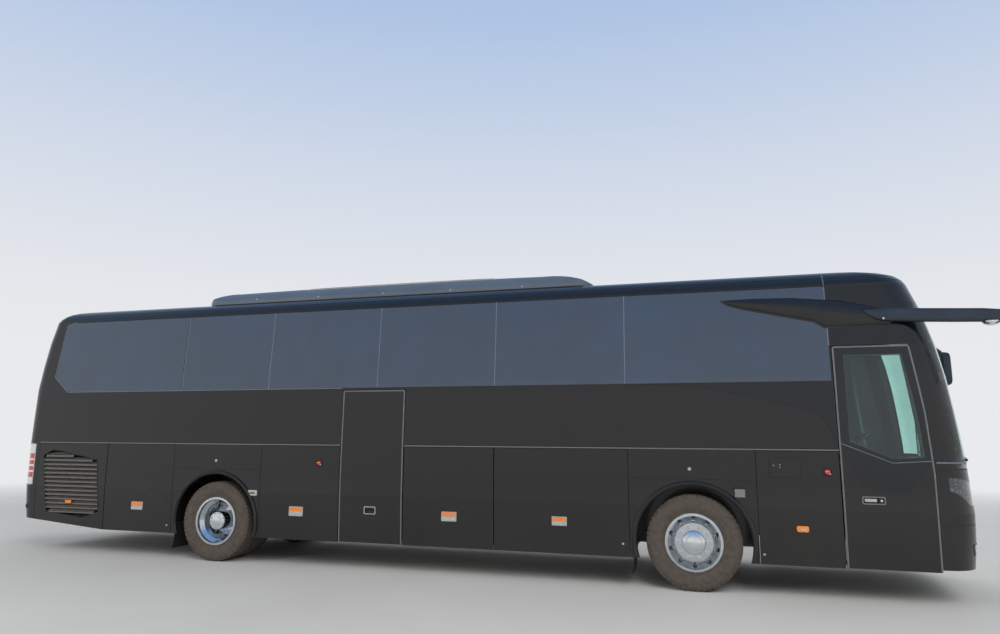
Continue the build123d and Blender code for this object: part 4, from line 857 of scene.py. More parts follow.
def nut_ring(axle_x, face_y, side):
    """Hexagon nuts with washers and domed caps, evenly round the hub."""
    shapes = []
    washer = ((0.024, -0.002), (0.024, 0.004), (0.019, 0.005), (0.019, -0.002))
    flats = ((0.0185, 0.0), (0.0185, 0.022), (0.0, 0.022))
    dome = ((0.015, 0.018), (0.015, 0.028), (0.013, 0.034), (0.008, 0.038), (0.0, 0.039))
    for index in range(NUT_COUNT):
        angle = 2 * np.pi * index / NUT_COUNT
        centre = (
            axle_x + NUT_CIRCLE * np.cos(angle),
            side * face_y,
            WHEEL_Z + NUT_CIRCLE * np.sin(angle),
        )
        shapes.append(turned(washer, centre, side, 20))
        shapes.append(turned(flats, centre, side, 6, phase=angle))
        shapes.append(turned(dome, centre, side, 16))
    return joined(shapes)


def valve(axle_x, face_y, side):
    """Short bent tube of the tyre valve with its cap."""
    path = np.array([(0.205, -0.01), (0.208, 0.02), (0.222, 0.045), (0.235, 0.06)])
    points = np.column_stack(
        [np.full(4, axle_x), side * (face_y + path[:, 1]), WHEEL_Z - path[:, 0]]
    )
    ring = 2 * np.pi * np.arange(10) / 10
    return carried(np.column_stack([np.cos(ring), np.sin(ring)]) * 0.005, points, (1.0, 0.0, 0.0))


class COACH_OT_wheel_fittings(bpy.types.Operator):
    """Make the nuts, hub caps, rings and valves of the wheels"""

    bl_idname = "coach.wheel_fittings"
    bl_label = "Wheel fittings"

    def execute(self, context):
        front_cap = (
            (0.128, 0.0), (0.128, 0.010), (0.122, 0.022), (0.116, 0.046), (0.104, 0.054), (0.082, 0.062),
            (0.078, 0.058), (0.060, 0.064), (0.036, 0.067), (0.0, 0.068),
        )
        rear_cap = (
            (0.1165, -0.060), (0.1165, -0.004), (0.110, 0.006), (0.094, 0.010), (0.090, 0.004),
            (0.064, 0.006), (0.060, 0.016), (0.030, 0.021), (0.0, 0.022),
        )
        outer_ring = ((0.232, 0.002), (0.228, 0.008), (0.220, 0.0085), (0.216, 0.001))
        for node, body, axle_x, places, side in WHEELS:
            front = node.startswith("front")
            face = places[0] + (FRONT_FACE if front else REAR_FACE)
            end = places[0] + (FRONT_FACE if front else REAR_HUB_END)
            label = body + "_"
            piece(label + "nuts", nut_ring(axle_x, face, side), "chrome", body)
            cap = turned(front_cap if front else rear_cap, (axle_x, side * end, WHEEL_Z), side, 64)
            piece(label + "hub_cap", cap, "chrome", body, 35)
            piece(label + "valve", valve(axle_x, face, side), "rubber", body, 60, slot="tyre")
            if not front:
                bolts = []
                for index in range(8):
                    angle = 2 * np.pi * (index + 0.5) / 8
                    centre = (axle_x + 0.102 * np.cos(angle), side * end, WHEEL_Z + 0.102 * np.sin(angle))
                    bolts.append(turned(((0.009, 0.0), (0.009, 0.016), (0.0, 0.018)), centre, side, 6))
                piece(label + "hub_bolts", joined(bolts), "zinc", body)
            else:
                ring = turned(outer_ring + outer_ring[:1], (axle_x, side * (face - 0.062), WHEEL_Z), side, 96)
                piece(label + "edge_ring", ring, "wheel", body)
        return {"FINISHED"}


# Trim along the sides
STRIP = rounded_rectangle(1.0, 1.0, 0.25, 4)


def side_path(points, side, step=0.25, closed=False):
    """A path in x and z laid on the skin of one side."""
    flat = dense(points, step, closed)
    return np.column_stack([flat[:, 0], side * side_skin(flat[:, 0], flat[:, 1]), flat[:, 1]])


def side_strip(points, side, width, height, step=0.25, closed=False):
    """A rounded strip whose foot is just inside the skin."""
    profile = STRIP * (width, height) + (0, height / 2 - 0.0015)
    return carried(profile, side_path(points, side, step, closed), (0, side, 0), closed)


def from_rear_axle(points):
    """Points whose x was measured from the rear axle, in the frame's x."""
    return np.asarray(points, float) + (REAR_AXLE_X, 0)


# Top edge of the painted panel where it sweeps down to the front door, and the glass line above it
SWEEP = from_rear_axle(
    (
        (5.343, 2.228), (5.896, 2.216), (6.182, 2.193), (6.495, 2.134), (6.866, 2.049), (7.096, 1.994),
        (7.385, 1.914), (7.474, 1.810), (7.545, 1.673), (7.562, 1.580),
    )
)
# Lines between the panes, from the rear axle
PANE_LINES = (-0.672, 0.708, 2.289, 3.841, 5.397)
REAR_PANE_EDGE = from_rear_axle(
    ((-2.693, 3.270), (-2.872, 3.235), (-2.943, 2.452), (-2.667, 2.228))
)
ARCH_LIP = 0.630
HATCH_LINE_Z = 1.186
ARCH_LIP_PROFILE = np.array(
    [(-0.027, -0.012), (-0.027, 0.006), (-0.022, 0.017), (-0.010, 0.024), (0.006, 0.021), (0.018, 0.010),
     (0.026, 0.0), (0.026, -0.006)]
)


class COACH_OT_side_trim(bpy.types.Operator):
    """Make the strips, gaskets, arch lips, gloss panels and mud flaps of both sides"""

    bl_idname = "coach.side_trim"
    bl_label = "Side trim"

    def execute(self, context):
        door_x = DOOR_REAR_X - 0.008
        rear_x = REAR_AXLE_X - 3.054
        for side, label in ((-1, "right"), (1, "left")):
            place = on_right_or_left(side)
            spans = [(rear_x, door_x)]
            if side < 0:
                spans = [(rear_x, MID_DOOR[0] - 0.012), (MID_DOOR[1] + 0.012, door_x)]
            for name, rise, width, finish in (
                ("belt_strip", 0.010, 0.012, "anodised"), ("belt_gap", 0.021, 0.008, "rubber")
            ):
                z = BELT_Z + rise
                strips = [side_strip([(a, z), (b, z)], side, width, 0.0055, 0.5) for a, b in spans]
                piece(f"{label}_{name}", joined(strips), finish, slot="body_paint")
            lines = []
            for x in PANE_LINES:
                x += REAR_AXLE_X
                lines.append(side_strip([(x, SILL_Z + 0.004), (x, 3.268)], side, 0.009, 0.004, 0.2))
            lines.append(side_strip(REAR_PANE_EDGE, side, 0.008, 0.005, 0.1))
            sill = [(REAR_PANE_EDGE[-1][0], SILL_Z), (REAR_AXLE_X + 1.80, SILL_Z)]
            lines.append(side_strip(sill, side, 0.007, 0.004, 0.5))
            piece(label + "_pane_lines", joined(lines), "sealant")
            sill = [(REAR_AXLE_X + 1.80, SILL_Z), (door_x, SILL_Z)]
            top_line = [(REAR_PANE_EDGE[0][0], GLASS_TOP_Z), (door_x, GLASS_TOP_Z)]
            dark = [side_strip(sill, side, 0.007, 0.004, 0.5), side_strip(top_line, side, 0.012, 0.010, 0.4)]
            piece(label + "_glass_seals", joined(dark), "rubber")
            # Glossy field between the sweep and the glass, down to the front door
            sweep = rounded(SWEEP, 0.12, 6, closed=False)
            foot_x, foot_z = dense(sweep, 0.06).T
            quarter = patch(np.minimum(foot_x, door_x), foot_z, SILL_Z - 0.002, place, 0.002)
            piece(label + "_quarter_panel", quarter, "gloss", smooth=20)
            edge = side_strip(sweep, side, 0.007, 0.004, 0.1)
            piece(label + "_quarter_edge", edge, "rubber", slot="gloss_panel")
            # Glossy field above the front door, as far as the windscreen pillar
            x = np.linspace(door_x + 0.012, NOSE_X - 0.52, 26)
            above = patch(x, FRONT_DOOR_TOP + 0.012, 3.262, place, 0.002, 14)
            piece(label + "_upper_quarter", above, "gloss", smooth=20)
            lips, grooves = [], []
            for axle_x in (FRONT_AXLE_X, REAR_AXLE_X):
                drop = np.arcsin((WHEEL_Z - SKIRT_Z - 0.03) / ARCH_LIP)
                angle = np.linspace(-drop, np.pi + drop, 96)
                arc = np.column_stack([np.cos(angle), np.sin(angle)]) * ARCH_LIP + (axle_x, WHEEL_Z)
                lips.append(carried(ARCH_LIP_PROFILE * (side, 1), place(arc, 0.0), (0, side, 0)))
                ends = [(axle_x - 0.665, HATCH_LINE_Z), (axle_x + 0.655, HATCH_LINE_Z)]
                grooves.append(side_strip(ends, side, 0.008, 0.0022, 0.5))
            piece(label + "_arch_lips", joined(lips), "enamel", smooth=60)
            piece(label + "_arch_hatch_lines", joined(grooves), "rubber", smooth=35)
            flaps = []
            for axle_x in (FRONT_AXLE_X, REAR_AXLE_X):
                z = np.linspace(0.135, 0.470, 9)
                hang = axle_x - 0.640 - 0.030 * ((0.470 - z) / 0.335) ** 2
                y = side * np.array([0.80, 0.84, 0.95, 1.06, 1.17, 1.20])
                front = np.stack(np.broadcast_arrays(hang[:, None], y[None, :], z[:, None]), -1)
                flaps.append(slab(front + (0.005, 0, 0), front))
            piece(label + "_mud_flaps", joined(flaps), "rubber")
        return {"FINISHED"}


# Louvres of the engine bay, from the rear axle
GRILLE = from_rear_axle(
    ((-2.963, 1.337), (-2.783, 1.419), (-1.990, 1.283), (-1.904, 0.560), (-2.172, 0.472), (-2.839, 0.540))
)
BLADES = 16


def grille_span(z):
    """First and last x of the grille's opening at a height, from its edges."""
    ends = np.roll(GRILLE, -1, 0)
    crossing = []
    for (x0, z0), (x1, z1) in zip(GRILLE, ends):
        if (z0 - z) * (z1 - z) < 0:
            crossing.append(x0 + (x1 - x0) * (z - z0) / (z1 - z0))
    return (min(crossing), max(crossing)) if len(crossing) > 1 else None


def louvre(z, pitch, side, span):
    """One bent blade: a curved section, from a lip at its outer foot up and in behind the next blade,
    carried along the opening and cut to its edges."""
    drop = np.array([(-0.46, 0.002), (-0.40, 0.005), (-0.05, -0.004), (0.22, -0.016), (0.46, -0.034),
                     (0.44, -0.038), (0.18, -0.021), (-0.08, -0.009), (-0.38, 0.0), (-0.44, -0.002)])
    x = np.linspace(span[0], span[1], 9)
    path = np.column_stack([x, side * side_skin(x, z), np.full(9, z)])
    return carried(drop * (side * pitch, 1.0), path, (0, side, 0))


class COACH_OT_engine_grilles(bpy.types.Operator):
    """Make the bent louvres, the dark mesh behind them and the frame round them"""

    bl_idname = "coach.engine_grilles"
    bl_label = "Engine grilles"

    def execute(self, context):
        low_z, high_z = GRILLE[:, 1].min(), GRILLE[:, 1].max()
        pitch = (high_z - low_z) / BLADES
        for side, label in ((-1, "right"), (1, "left")):
            body = label + "_grille_door"
            blades = []
            for index in range(BLADES):
                z = low_z + (index + 0.5) * pitch
                spans = [grille_span(z + shift * pitch) for shift in (-0.44, 0.44)]
                if all(spans):
                    first, last = max(span[0] for span in spans), min(span[1] for span in spans)
                    if last - first > 0.1:
                        blades.append(louvre(z, pitch, side, (first + 0.004, last - 0.004)))
            # The louvres' grey is a painted highlight of the sky light on their faces
            piece(body + "_louvres", joined(blades), "louvre", body)
            rim = border(scaled(GRILLE, 1.012), scaled(GRILLE, 0.985), on_right_or_left(side), 0.003, 0.2)
            piece(body + "_rim", rim, "moulding", body)
            wide = scaled(GRILLE, 1.02)
            x = np.linspace(wide[:, 0].min(), wide[:, 0].max(), 15)
            top = np.interp(x, *wide[[0, 1, 2, 3]].T)
            foot = np.interp(x, *wide[[0, 5, 4, 3]].T)
            screen = patch(x, np.minimum(foot, top - 0.005), top, on_right_or_left(side), -0.062, 8, -0.066)
            piece(body + "_mesh", screen, "liner", body, 20)
        return {"FINISHED"}


# Fittings on the flaps: markers with a handle, locks, emergency taps
FLAP_SPOTS = (
    # body of the right side, body of the left side, x from the rear axle, z, width, height
    ("right_rear_service_flap", "left_rear_service_flap", -1.249, 0.671, 0.180, 0.096),
    ("right_luggage_flap_1", "left_luggage_flap_1", 1.221, 0.679, 0.190, 0.107),
    ("right_luggage_flap_2", "left_luggage_flap_2", 3.288, 0.689, 0.180, 0.100),
    ("right_luggage_flap_3", "left_luggage_flap_3", 4.622, 0.687, 0.163, 0.090),
)


HATCH_LOCK_Z = 1.293
MARKERS = (
    # name, finish, body where it isn't the body itself, x from the rear axle, z, width, height, corner
    # radius, depth, lift
    ("front_marker_base", "moulding", "front_service_flap", 7.186, 0.705, 0.132, 0.074, 0.02, 0.008, 0.0),
    ("front_marker", "amber", "front_service_flap", 7.186, 0.705, 0.120, 0.062, 0.018, 0.014, 0.004),
    ("front_marker_lens", "white", "front_service_flap", 7.196, 0.700, 0.055, 0.020, 0.006, 0.003, 0.018),
    ("grille_marker_base", "moulding", "grille_door", -2.43, 0.690, 0.118, 0.052, 0.008, 0.012, 0.0),
    ("grille_marker", "amber", "grille_door", -2.43, 0.690, 0.106, 0.042, 0.006, 0.008, 0.009),
)
LAMPS = (
    ("rear_arch_lamp", "white", "", 0.577, 0.891, 0.133, 0.070, 0.006, 0.014, 0.0),
    ("rear_arch_lamp_slot", "moulding", "", 0.577, 0.889, 0.078, 0.018, 0.004, 0.0015, 0.0135),
    ("step_lamp", "moulding", "", 6.584, 1.051, 0.116, 0.096, 0.008, 0.040, 0.0),
    ("step_lamp_lens", "smoked", "", 6.584, 1.051, 0.104, 0.084, 0.006, 0.004, 0.039),
)
TAP_PROFILES = {
    "pin": ((0.009, 0.0), (0.009, 0.014), (0.005, 0.018), (0.0, 0.019)),
    "cup": ((0.046, -0.004), (0.046, 0.006), (0.040, 0.009), (0.036, 0.002), (0.0, 0.002)),
    "knob": ((0.028, 0.001), (0.028, 0.012), (0.022, 0.018), (0.0, 0.019)),
}


def framed_plate(width, height, radius, depth):
    """A plate with a rounded edge."""
    outline = rounded_rectangle(width, height, radius)
    return stacked(outline, ((1.0, -0.004), (1.0, depth * 0.6), (0.97, depth), (0.5, depth)))


def side_plate(x, z, side, width, height, radius, depth, lift=0.0):
    """A rounded plate on the body's side."""
    return on_side(framed_plate(width, height, radius, depth), x, z, side, lift)


def side_turned(x, z, side, profile, segments):
    """A turned fitting on the body's side."""
    return turned(profile, (x, side * side_skin(x, z), z), side, segments)


def side_plates(table, side, label):
    """The plates of a table as pieces of one side."""
    for name, finish, body, x, z, width, height, radius, depth, lift in table:
        plate = side_plate(REAR_AXLE_X + x, z, side, width, height, radius, depth, lift)
        piece(f"{label}_{name}", plate, finish, f"{label}_{body}" if body else "body", 35)


def pull_pieces(name, body, x, z, side, width, height, rim_finish, grip):
    """A frame round a dark pocket, and a grip across it; grip is (x, z, width, height) from the middle."""
    outer = rounded_rectangle(width, height, height * 0.16) + (x, z)
    inner = rounded_rectangle(width - 0.020, height - 0.020, height * 0.10) + (x, z)
    frame_ring = border(outer, inner, on_right_or_left(side), 0.0045, 1.0)
    piece(name + "_frame", frame_ring, rim_finish, body, slot="rim")
    pocket = side_plate(x, z, side, width - 0.016, height - 0.016, 0.006, 0.0012)
    piece(name + "_pocket", pocket, "liner", body, 35)
    dx, dz, wide, tall = grip
    lever = side_plate(x + dx, z + dz, side, wide, tall, tall * 0.3, 0.010)
    piece(name + "_grip", lever, "moulding" if rim_finish == "zinc" else "zinc", body, 35, slot="rim")


class COACH_OT_flap_fittings(bpy.types.Operator):
    """Make the marker plates, handles, locks and taps on the flaps"""

    bl_idname = "coach.flap_fittings"
    bl_label = "Flap fittings"

    def execute(self, context):
        for right, left, x, z, width, height in FLAP_SPOTS:
            x += REAR_AXLE_X
            for body, side in ((right, -1), (left, 1)):
                case = side_plate(x, z, side, width + 0.012, height + 0.012, 0.008, 0.006)
                piece(body + "_marker_case", case, "zinc", body, 35)
                upper = (width - 0.006, height * 0.46, 0.005, 0.006, 0.004)
                upper = side_plate(x, z + height * 0.26, side, *upper)
                piece(body + "_marker_amber", upper, "amber", body, 35)
                lower_z = z - height * 0.24
                lower = (width * 0.45, height * 0.34, 0.004, 0.004, 0.005)
                halves = [side_plate(x + shift * width, lower_z, side, *lower) for shift in (-0.235, 0.235)]
                piece(body + "_marker_white", joined(halves), "white", body, 35)
        for side, label in ((-1, "right"), (1, "left")):
            side_plates(MARKERS, side, label)
            taps = ((1.531, 1.285, label + "_luggage_flap_1"), (7.458, 1.286, label + "_front_service_flap"))
            for number, (x, z, body) in enumerate(taps):
                x += REAR_AXLE_X
                centre = (x, side * side_skin(x, z), z)
                spot = (x + 0.022, side * side_skin(x, z), z - 0.020)
                for part, place, segments, finish in (
                    ("pin", spot, 20, "chrome"), ("cup", centre, 40, "moulding"), ("knob", centre, 32, "red")
                ):
                    shape = turned(TAP_PROFILES[part], place, side, segments)
                    piece(f"{label}_tap_{number}_{part}", shape, finish, body)
                bar = side_plate(x - 0.004, z + 0.004, side, 0.046, 0.013, 0.006, 0.008, 0.016)
                piece(f"{label}_tap_{number}_bar", bar, "amber", body, 35)
            locks = []
            for x in (-0.016, 6.074):
                barrel = ((0.019, -0.003), (0.019, 0.004), (0.015, 0.006), (0.012, 0.003), (0.0, 0.003))
                locks.append(side_turned(REAR_AXLE_X + x, HATCH_LOCK_Z, side, barrel, 28))
            piece(label + "_hatch_locks", joined(locks), "zinc")
            for body, x, z in (
                (label + "_rear_service_flap", -0.745, 0.43),
                (label + "_luggage_flap_3", 5.335, 0.47),
                (label + "_front_service_flap", 6.80, 0.43),
            ):
                bolt = ((0.013, -0.003), (0.013, 0.005), (0.008, 0.009), (0.0, 0.010))
                piece(body + "_catch", side_turned(REAR_AXLE_X + x, z, side, bolt, 24), "zinc", body)
            side_plates(LAMPS, side, label)
        x = low("fuel_flap")[0] + 0.055
        latch = side_plate(x, 1.345, -1, 0.070, 0.060, 0.008, 0.005)
        piece("fuel_flap_latch", latch, "moulding", "fuel_flap", 35)
        screws = []
        for screw_x, screw_z in ((x + 0.052, 1.352), (x + 0.052, 1.325), (x - 0.012, 1.345)):
            head = ((0.006, 0.0), (0.006, 0.003), (0.003, 0.005), (0.0, 0.005))
            lift = 0.004 if screw_x < x else 0.0
            spot = (screw_x, -side_skin(screw_x, screw_z) - lift, screw_z)
            screws.append(turned(head, spot, -1, 16))
        piece("fuel_flap_screws", joined(screws), "zinc", "fuel_flap")
        return {"FINISHED"}


# Door seams, handles and gloss panels
FRONT_DOOR_EDGE = from_rear_axle(((8.442, 0.340), (8.448, 1.290), (8.413, 1.903), (8.326, 2.592)))


class COACH_OT_door_trim(bpy.types.Operator):
    """Make the seams, handles and gloss panel of the two doors"""

    bl_idname = "coach.door_trim"
    bl_label = "Door trim"

    def execute(self, context):
        width = settings().strip_width
        inset = width / 2
        mid_outline = [
            (MID_DOOR[0] + inset, DOOR_BOTTOM + 0.005),
            (MID_DOOR[0] + inset, MID_DOOR_TOP - inset),
            (MID_DOOR[1] - inset, MID_DOOR_TOP - inset),
            (MID_DOOR[1] - inset, DOOR_BOTTOM + 0.005),
        ]
        front_outline = [
            (DOOR_REAR_X + inset, DOOR_BOTTOM + 0.005),
            (DOOR_REAR_X + inset, FRONT_DOOR_TOP - inset),
            (FRONT_DOOR_EDGE[3][0] - inset, FRONT_DOOR_TOP - inset),
            (FRONT_DOOR_EDGE[2][0] - inset, 1.903),
            (FRONT_DOOR_EDGE[1][0] - inset, 1.290),
            (FRONT_DOOR_EDGE[0][0] - inset, DOOR_BOTTOM + 0.005),
        ]
        for body, outline in (("mid_door", mid_outline), ("front_door", front_outline)):
            seam = side_strip(rounded(outline, 0.02, 4, closed=False), -1, width, 0.008, 0.12)
            piece(body + "_seam", seam, "gasket", body)
        # Gloss panel under the door's window: a shallow V between the glass edge and two slants
        x = REAR_AXLE_X + np.array(
            [7.600, 7.660, 7.720, 7.779, 7.880, 7.985, 8.077, 8.135, 8.187, 8.270, 8.350, 8.400]
        )
        edge_z = np.interp(x, REAR_AXLE_X + np.array([7.590, 8.077, 8.420]), (1.588, 1.378, 1.402))
        foot_x = REAR_AXLE_X + np.array([7.600, 7.779, 8.187, 8.350, 8.425])
        foot = np.interp(x, foot_x, (1.545, 1.148, 1.067, 1.278, 1.400))
        panel = patch(x, np.minimum(foot, edge_z - 0.002), edge_z, on_right_or_left(-1), 0.002, 8)
        piece("front_door_gloss", panel, "gloss", "front_door", 20)
        # Black border of the door's window, from the seam in to the clear glass
        seam_in = inset * 2
        outer = np.array(
            [
                (DOOR_REAR_X + seam_in, FRONT_DOOR_TOP - seam_in),
                (FRONT_DOOR_EDGE[3][0] - seam_in, FRONT_DOOR_TOP - seam_in),
                (FRONT_DOOR_EDGE[2][0] - seam_in, 1.903),
                (FRONT_DOOR_EDGE[1][0] - seam_in - 0.004, 1.418),
                (REAR_AXLE_X + 8.077, 1.391),
                (DOOR_REAR_X + seam_in, 1.590),
            ]
        )
        inner = from_rear_axle(
            ((7.690, 2.508), (8.245, 2.508), (8.338, 1.903), (8.372, 1.445), (8.085, 1.425), (7.690, 1.596))
        )
        frit = border(outer, inner, on_right_or_left(-1), 0.0015)
        piece("front_door_frit", frit, "frit", "front_door", 20)
        lower_edge = from_rear_axle(((7.588, 1.586), (8.077, 1.386), (8.425, 1.410)))
        piece("front_door_sill_seal", side_strip(lower_edge, -1, 0.007, 0.0045, 0.1), "sealant", "front_door")
        pull_pieces("front_door_pull", "front_door", REAR_AXLE_X + 7.872, 1.011, -1, 0.213, 0.078, "anodised",
                    (-0.030, 0.002, 0.115, 0.030))
        x = 7.942 + REAR_AXLE_X
        ring = ((0.028, 0.0), (0.028, 0.010), (0.021, 0.012), (0.017, 0.006), (0.0, 0.006))
        centre = (x, -side_skin(x, 1.011), 1.011)
        piece("front_door_lock", turned(ring, centre, -1, 32), "moulding", "front_door")
        barrel = ((0.011, 0.004), (0.011, 0.009), (0.006, 0.0095), (0.0, 0.008))
        piece("front_door_key", turned(barrel, centre, -1, 24), "chrome", "front_door")
        pull_pieces("mid_door_pull", "mid_door", REAR_AXLE_X + 2.251, 0.7245, -1, 0.156, 0.093, "zinc",
                    (0.018, -0.020, 0.085, 0.030))
        return {"FINISHED"}


# Mirrors: a wing on the side above the door, an arm from it and a hanging head
WING_FOOT = from_rear_axle(
    (
        (6.480, 3.150), (6.560, 3.098), (6.706, 3.050), (7.441, 2.874), (7.530, 2.812), (7.640, 2.800),
        (8.150, 2.812), (8.235, 2.900),
    )
)
WING_TOP = from_rear_axle(((6.480, 3.154), (6.800, 3.162), (7.204, 3.152), (7.705, 3.100), (8.235, 2.960)))
ARM_HALF = (0.071, 0.040)
ARM_PATH = np.array(
    # x from the rear axle, distance out from the middle, height
    [
        (7.93, 1.262, 2.968), (7.97, 1.264, 2.950), (8.03, 1.268, 2.930), (8.10, 1.274, 2.915),
        (8.20, 1.280, 2.910), (8.45, 1.290, 2.895), (8.75, 1.305, 2.878), (9.00, 1.320, 2.866),
        (9.15, 1.329, 2.852), (9.25, 1.334, 2.825), (9.31, 1.335, 2.780), (9.335, 1.335, 2.720),
    ]
)
ARM_SIZE = (0.12, 0.42, 0.80, 0.98, 1.0, 1.0, 1.0, 0.98, 0.92, 0.82, 0.70, 0.60)


def wing(side):
    """The wing over its outline: lift = thickness at x * (1 - |2v - 1| ** 1.7) ** 0.65, where v runs from
    the lower to the upper edge and the thickness grows from nothing at both tips."""
    x = np.linspace(WING_FOOT[0, 0], WING_FOOT[-1, 0], 64)
    along = (x - x[0]) / (x[-1] - x[0])
    thick = 0.052 * (1 - np.abs(2 * along - 1) ** 6) ** 0.5 * (0.55 + 0.45 * along)
    foot = np.interp(x, *WING_FOOT.T)
    top = np.interp(x, *WING_TOP.T)
    v = np.linspace(0, 1, 17)[:, None]
    z = foot + (top - foot) * v
    wide = np.broadcast_to(x, z.shape)
    rise = (1 - np.abs(2 * v - 1) ** 1.7) ** 0.65
    lift = thick[None, :] * rise + 0.001
    skin = side_skin(wide, z)
    front = np.stack([wide, side * (skin + lift), z], -1)
    back = np.stack([wide, side * (skin - 0.002), z], -1)
    return slab(front, back)


def squircle(half_a, half_b, count=28, power=0.42):
    """A rounded box outline: (a cos, b sin) with each drawn out by a power below one."""
    angle = 2 * np.pi * np.arange(count) / count
    c, s = np.cos(angle), np.sin(angle)
    reach = np.sign([c, s]) * np.abs([c, s]) ** power
    return reach.T * (half_a, half_b)


def mirror_head(side):
    """A shell of squircle rings stacked from its foot to its top; each ring's size is a share that
    falls off towards both ends."""
    rows = np.linspace(-1, 1, 25)
    share = np.clip(1 - np.abs(rows) ** 9, 0.02, 1) ** 0.5
    ring = squircle(0.062, 0.128)
    centre_z, half = 2.570, 0.228
    points = np.empty((len(rows), len(ring), 3))
    points[..., 0] = MIRROR_X - 0.065 + ring[None, :, 0] * share[:, None]
    points[..., 1] = side * 1.335 + ring[None, :, 1] * share[:, None]
    points[..., 2] = (centre_z + half * rows)[:, None]
    faces = grid_faces(len(rows), len(ring), wrap_columns=True)
    faces += [list(range(len(ring))), list(range((len(rows) - 1) * len(ring), len(rows) * len(ring)))]
    return points.reshape(-1, 3), faces


class COACH_OT_mirrors(bpy.types.Operator):
    """Make the mirror wings, arms, heads, glasses and lenses in place of the plain ones"""

    bl_idname = "coach.mirrors"
    bl_label = "Mirrors"

    def execute(self, context):
        for side, label in ((-1, "right"), (1, "left")):
            shell = piece(label + "_mirror_wing", wing(side), "enamel", smooth=50)
            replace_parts(shell, "mirrors")
            x = WING_FOOT[:, 0]
            foot = np.column_stack([x, side * (side_skin(x, WING_FOOT[:, 1]) + 0.002), WING_FOOT[:, 1]])
            edge = carried(STRIP * (0.016, 0.010), dense(foot, 0.05), (0, side, 0))
            piece(label + "_wing_edge", edge, "moulding")
            path = ARM_PATH * (1, side, 1) + (REAR_AXLE_X, 0, 0)
            # The arm's and head's blue cast is a painted reflection of the sky
            arm = carried(squircle(*ARM_HALF, power=0.6), path, (0, side, 0), size=ARM_SIZE)
            arm = piece(label + "_mirror_arm", arm, "arm", smooth=50)
            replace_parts(arm, "mirrors")
            head = piece(label + "_mirror_head", mirror_head(side), "arm")
            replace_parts(head, "mirrors")
            screw = ((0.011, -0.004), (0.011, 0.004), (0.006, 0.007), (0.0, 0.007))
            spot = (REAR_AXLE_X + 8.094, side * 1.312, 2.872)
            piece(label + "_arm_screw", turned(screw, spot, side, 24), "chrome")
            back_x, y = MIRROR_X - 0.127, side * 1.335
            plates, rims = [], []
            for z, height in ((2.635, 0.255), (2.435, 0.115)):
                levels = ((1.0, -0.014), (1.0, 0.002), (0.96, 0.003), (0.5, 0.003))
                points, faces = stacked(rounded_rectangle(0.200, height, 0.03), levels)
                points = np.column_stack([back_x - points[:, 2], y + points[:, 0], z + points[:, 1]])
                plates.append((points, faces))
                loop = rounded_rectangle(0.208, height + 0.008, 0.034)
                path = np.column_stack([np.full(len(loop), back_x), y + loop[:, 0], z + loop[:, 1]])
                rims.append(carried(STRIP * (0.008, 0.022), path, (1, 0, 0), closed=True))
            piece(label + "_mirror_glass", joined(plates), "mirror", smooth=30)
            piece(label + "_mirror_rims", joined(rims), "moulding")
            dome = ((0.080, 0.0), (0.078, 0.012), (0.062, 0.028), (0.034, 0.040), (0.0, 0.044))
            lens = turned(dome, (REAR_AXLE_X + 9.06, side * 1.325, 2.800), -1, 40, axis=2)
            piece(label + "_mirror_lens", lens, "mirror")
        return {"FINISHED"}


# Roof
POD_REAR_X = float(low("aircon_unit")[0])
POD_FRONT_X = float(high("aircon_unit")[0])
POD_TOP = float(high("aircon_unit")[2])
POD_HALF = float(high("aircon_unit")[1])
ROOF_SEAM_X = REAR_AXLE_X + 7.560


def pod_crown(x):
    """Height of the pod's middle line: a shallow arc over its length."""
    crown_x = (POD_REAR_X + POD_FRONT_X) / 2 - 0.07
    return POD_TOP - (x - crown_x) ** 2 * 0.036 / 2.2**2


def pod_skin(x, y):
    """Height of the pod's surface: the crown, or the arc that its shoulders fall along where lower."""
    shoulder = 3.3241 + np.sqrt(0.3693**2 - np.clip(np.abs(y) - 0.6503, 0, 0.36) ** 2)
    return np.minimum(pod_crown(x), shoulder)


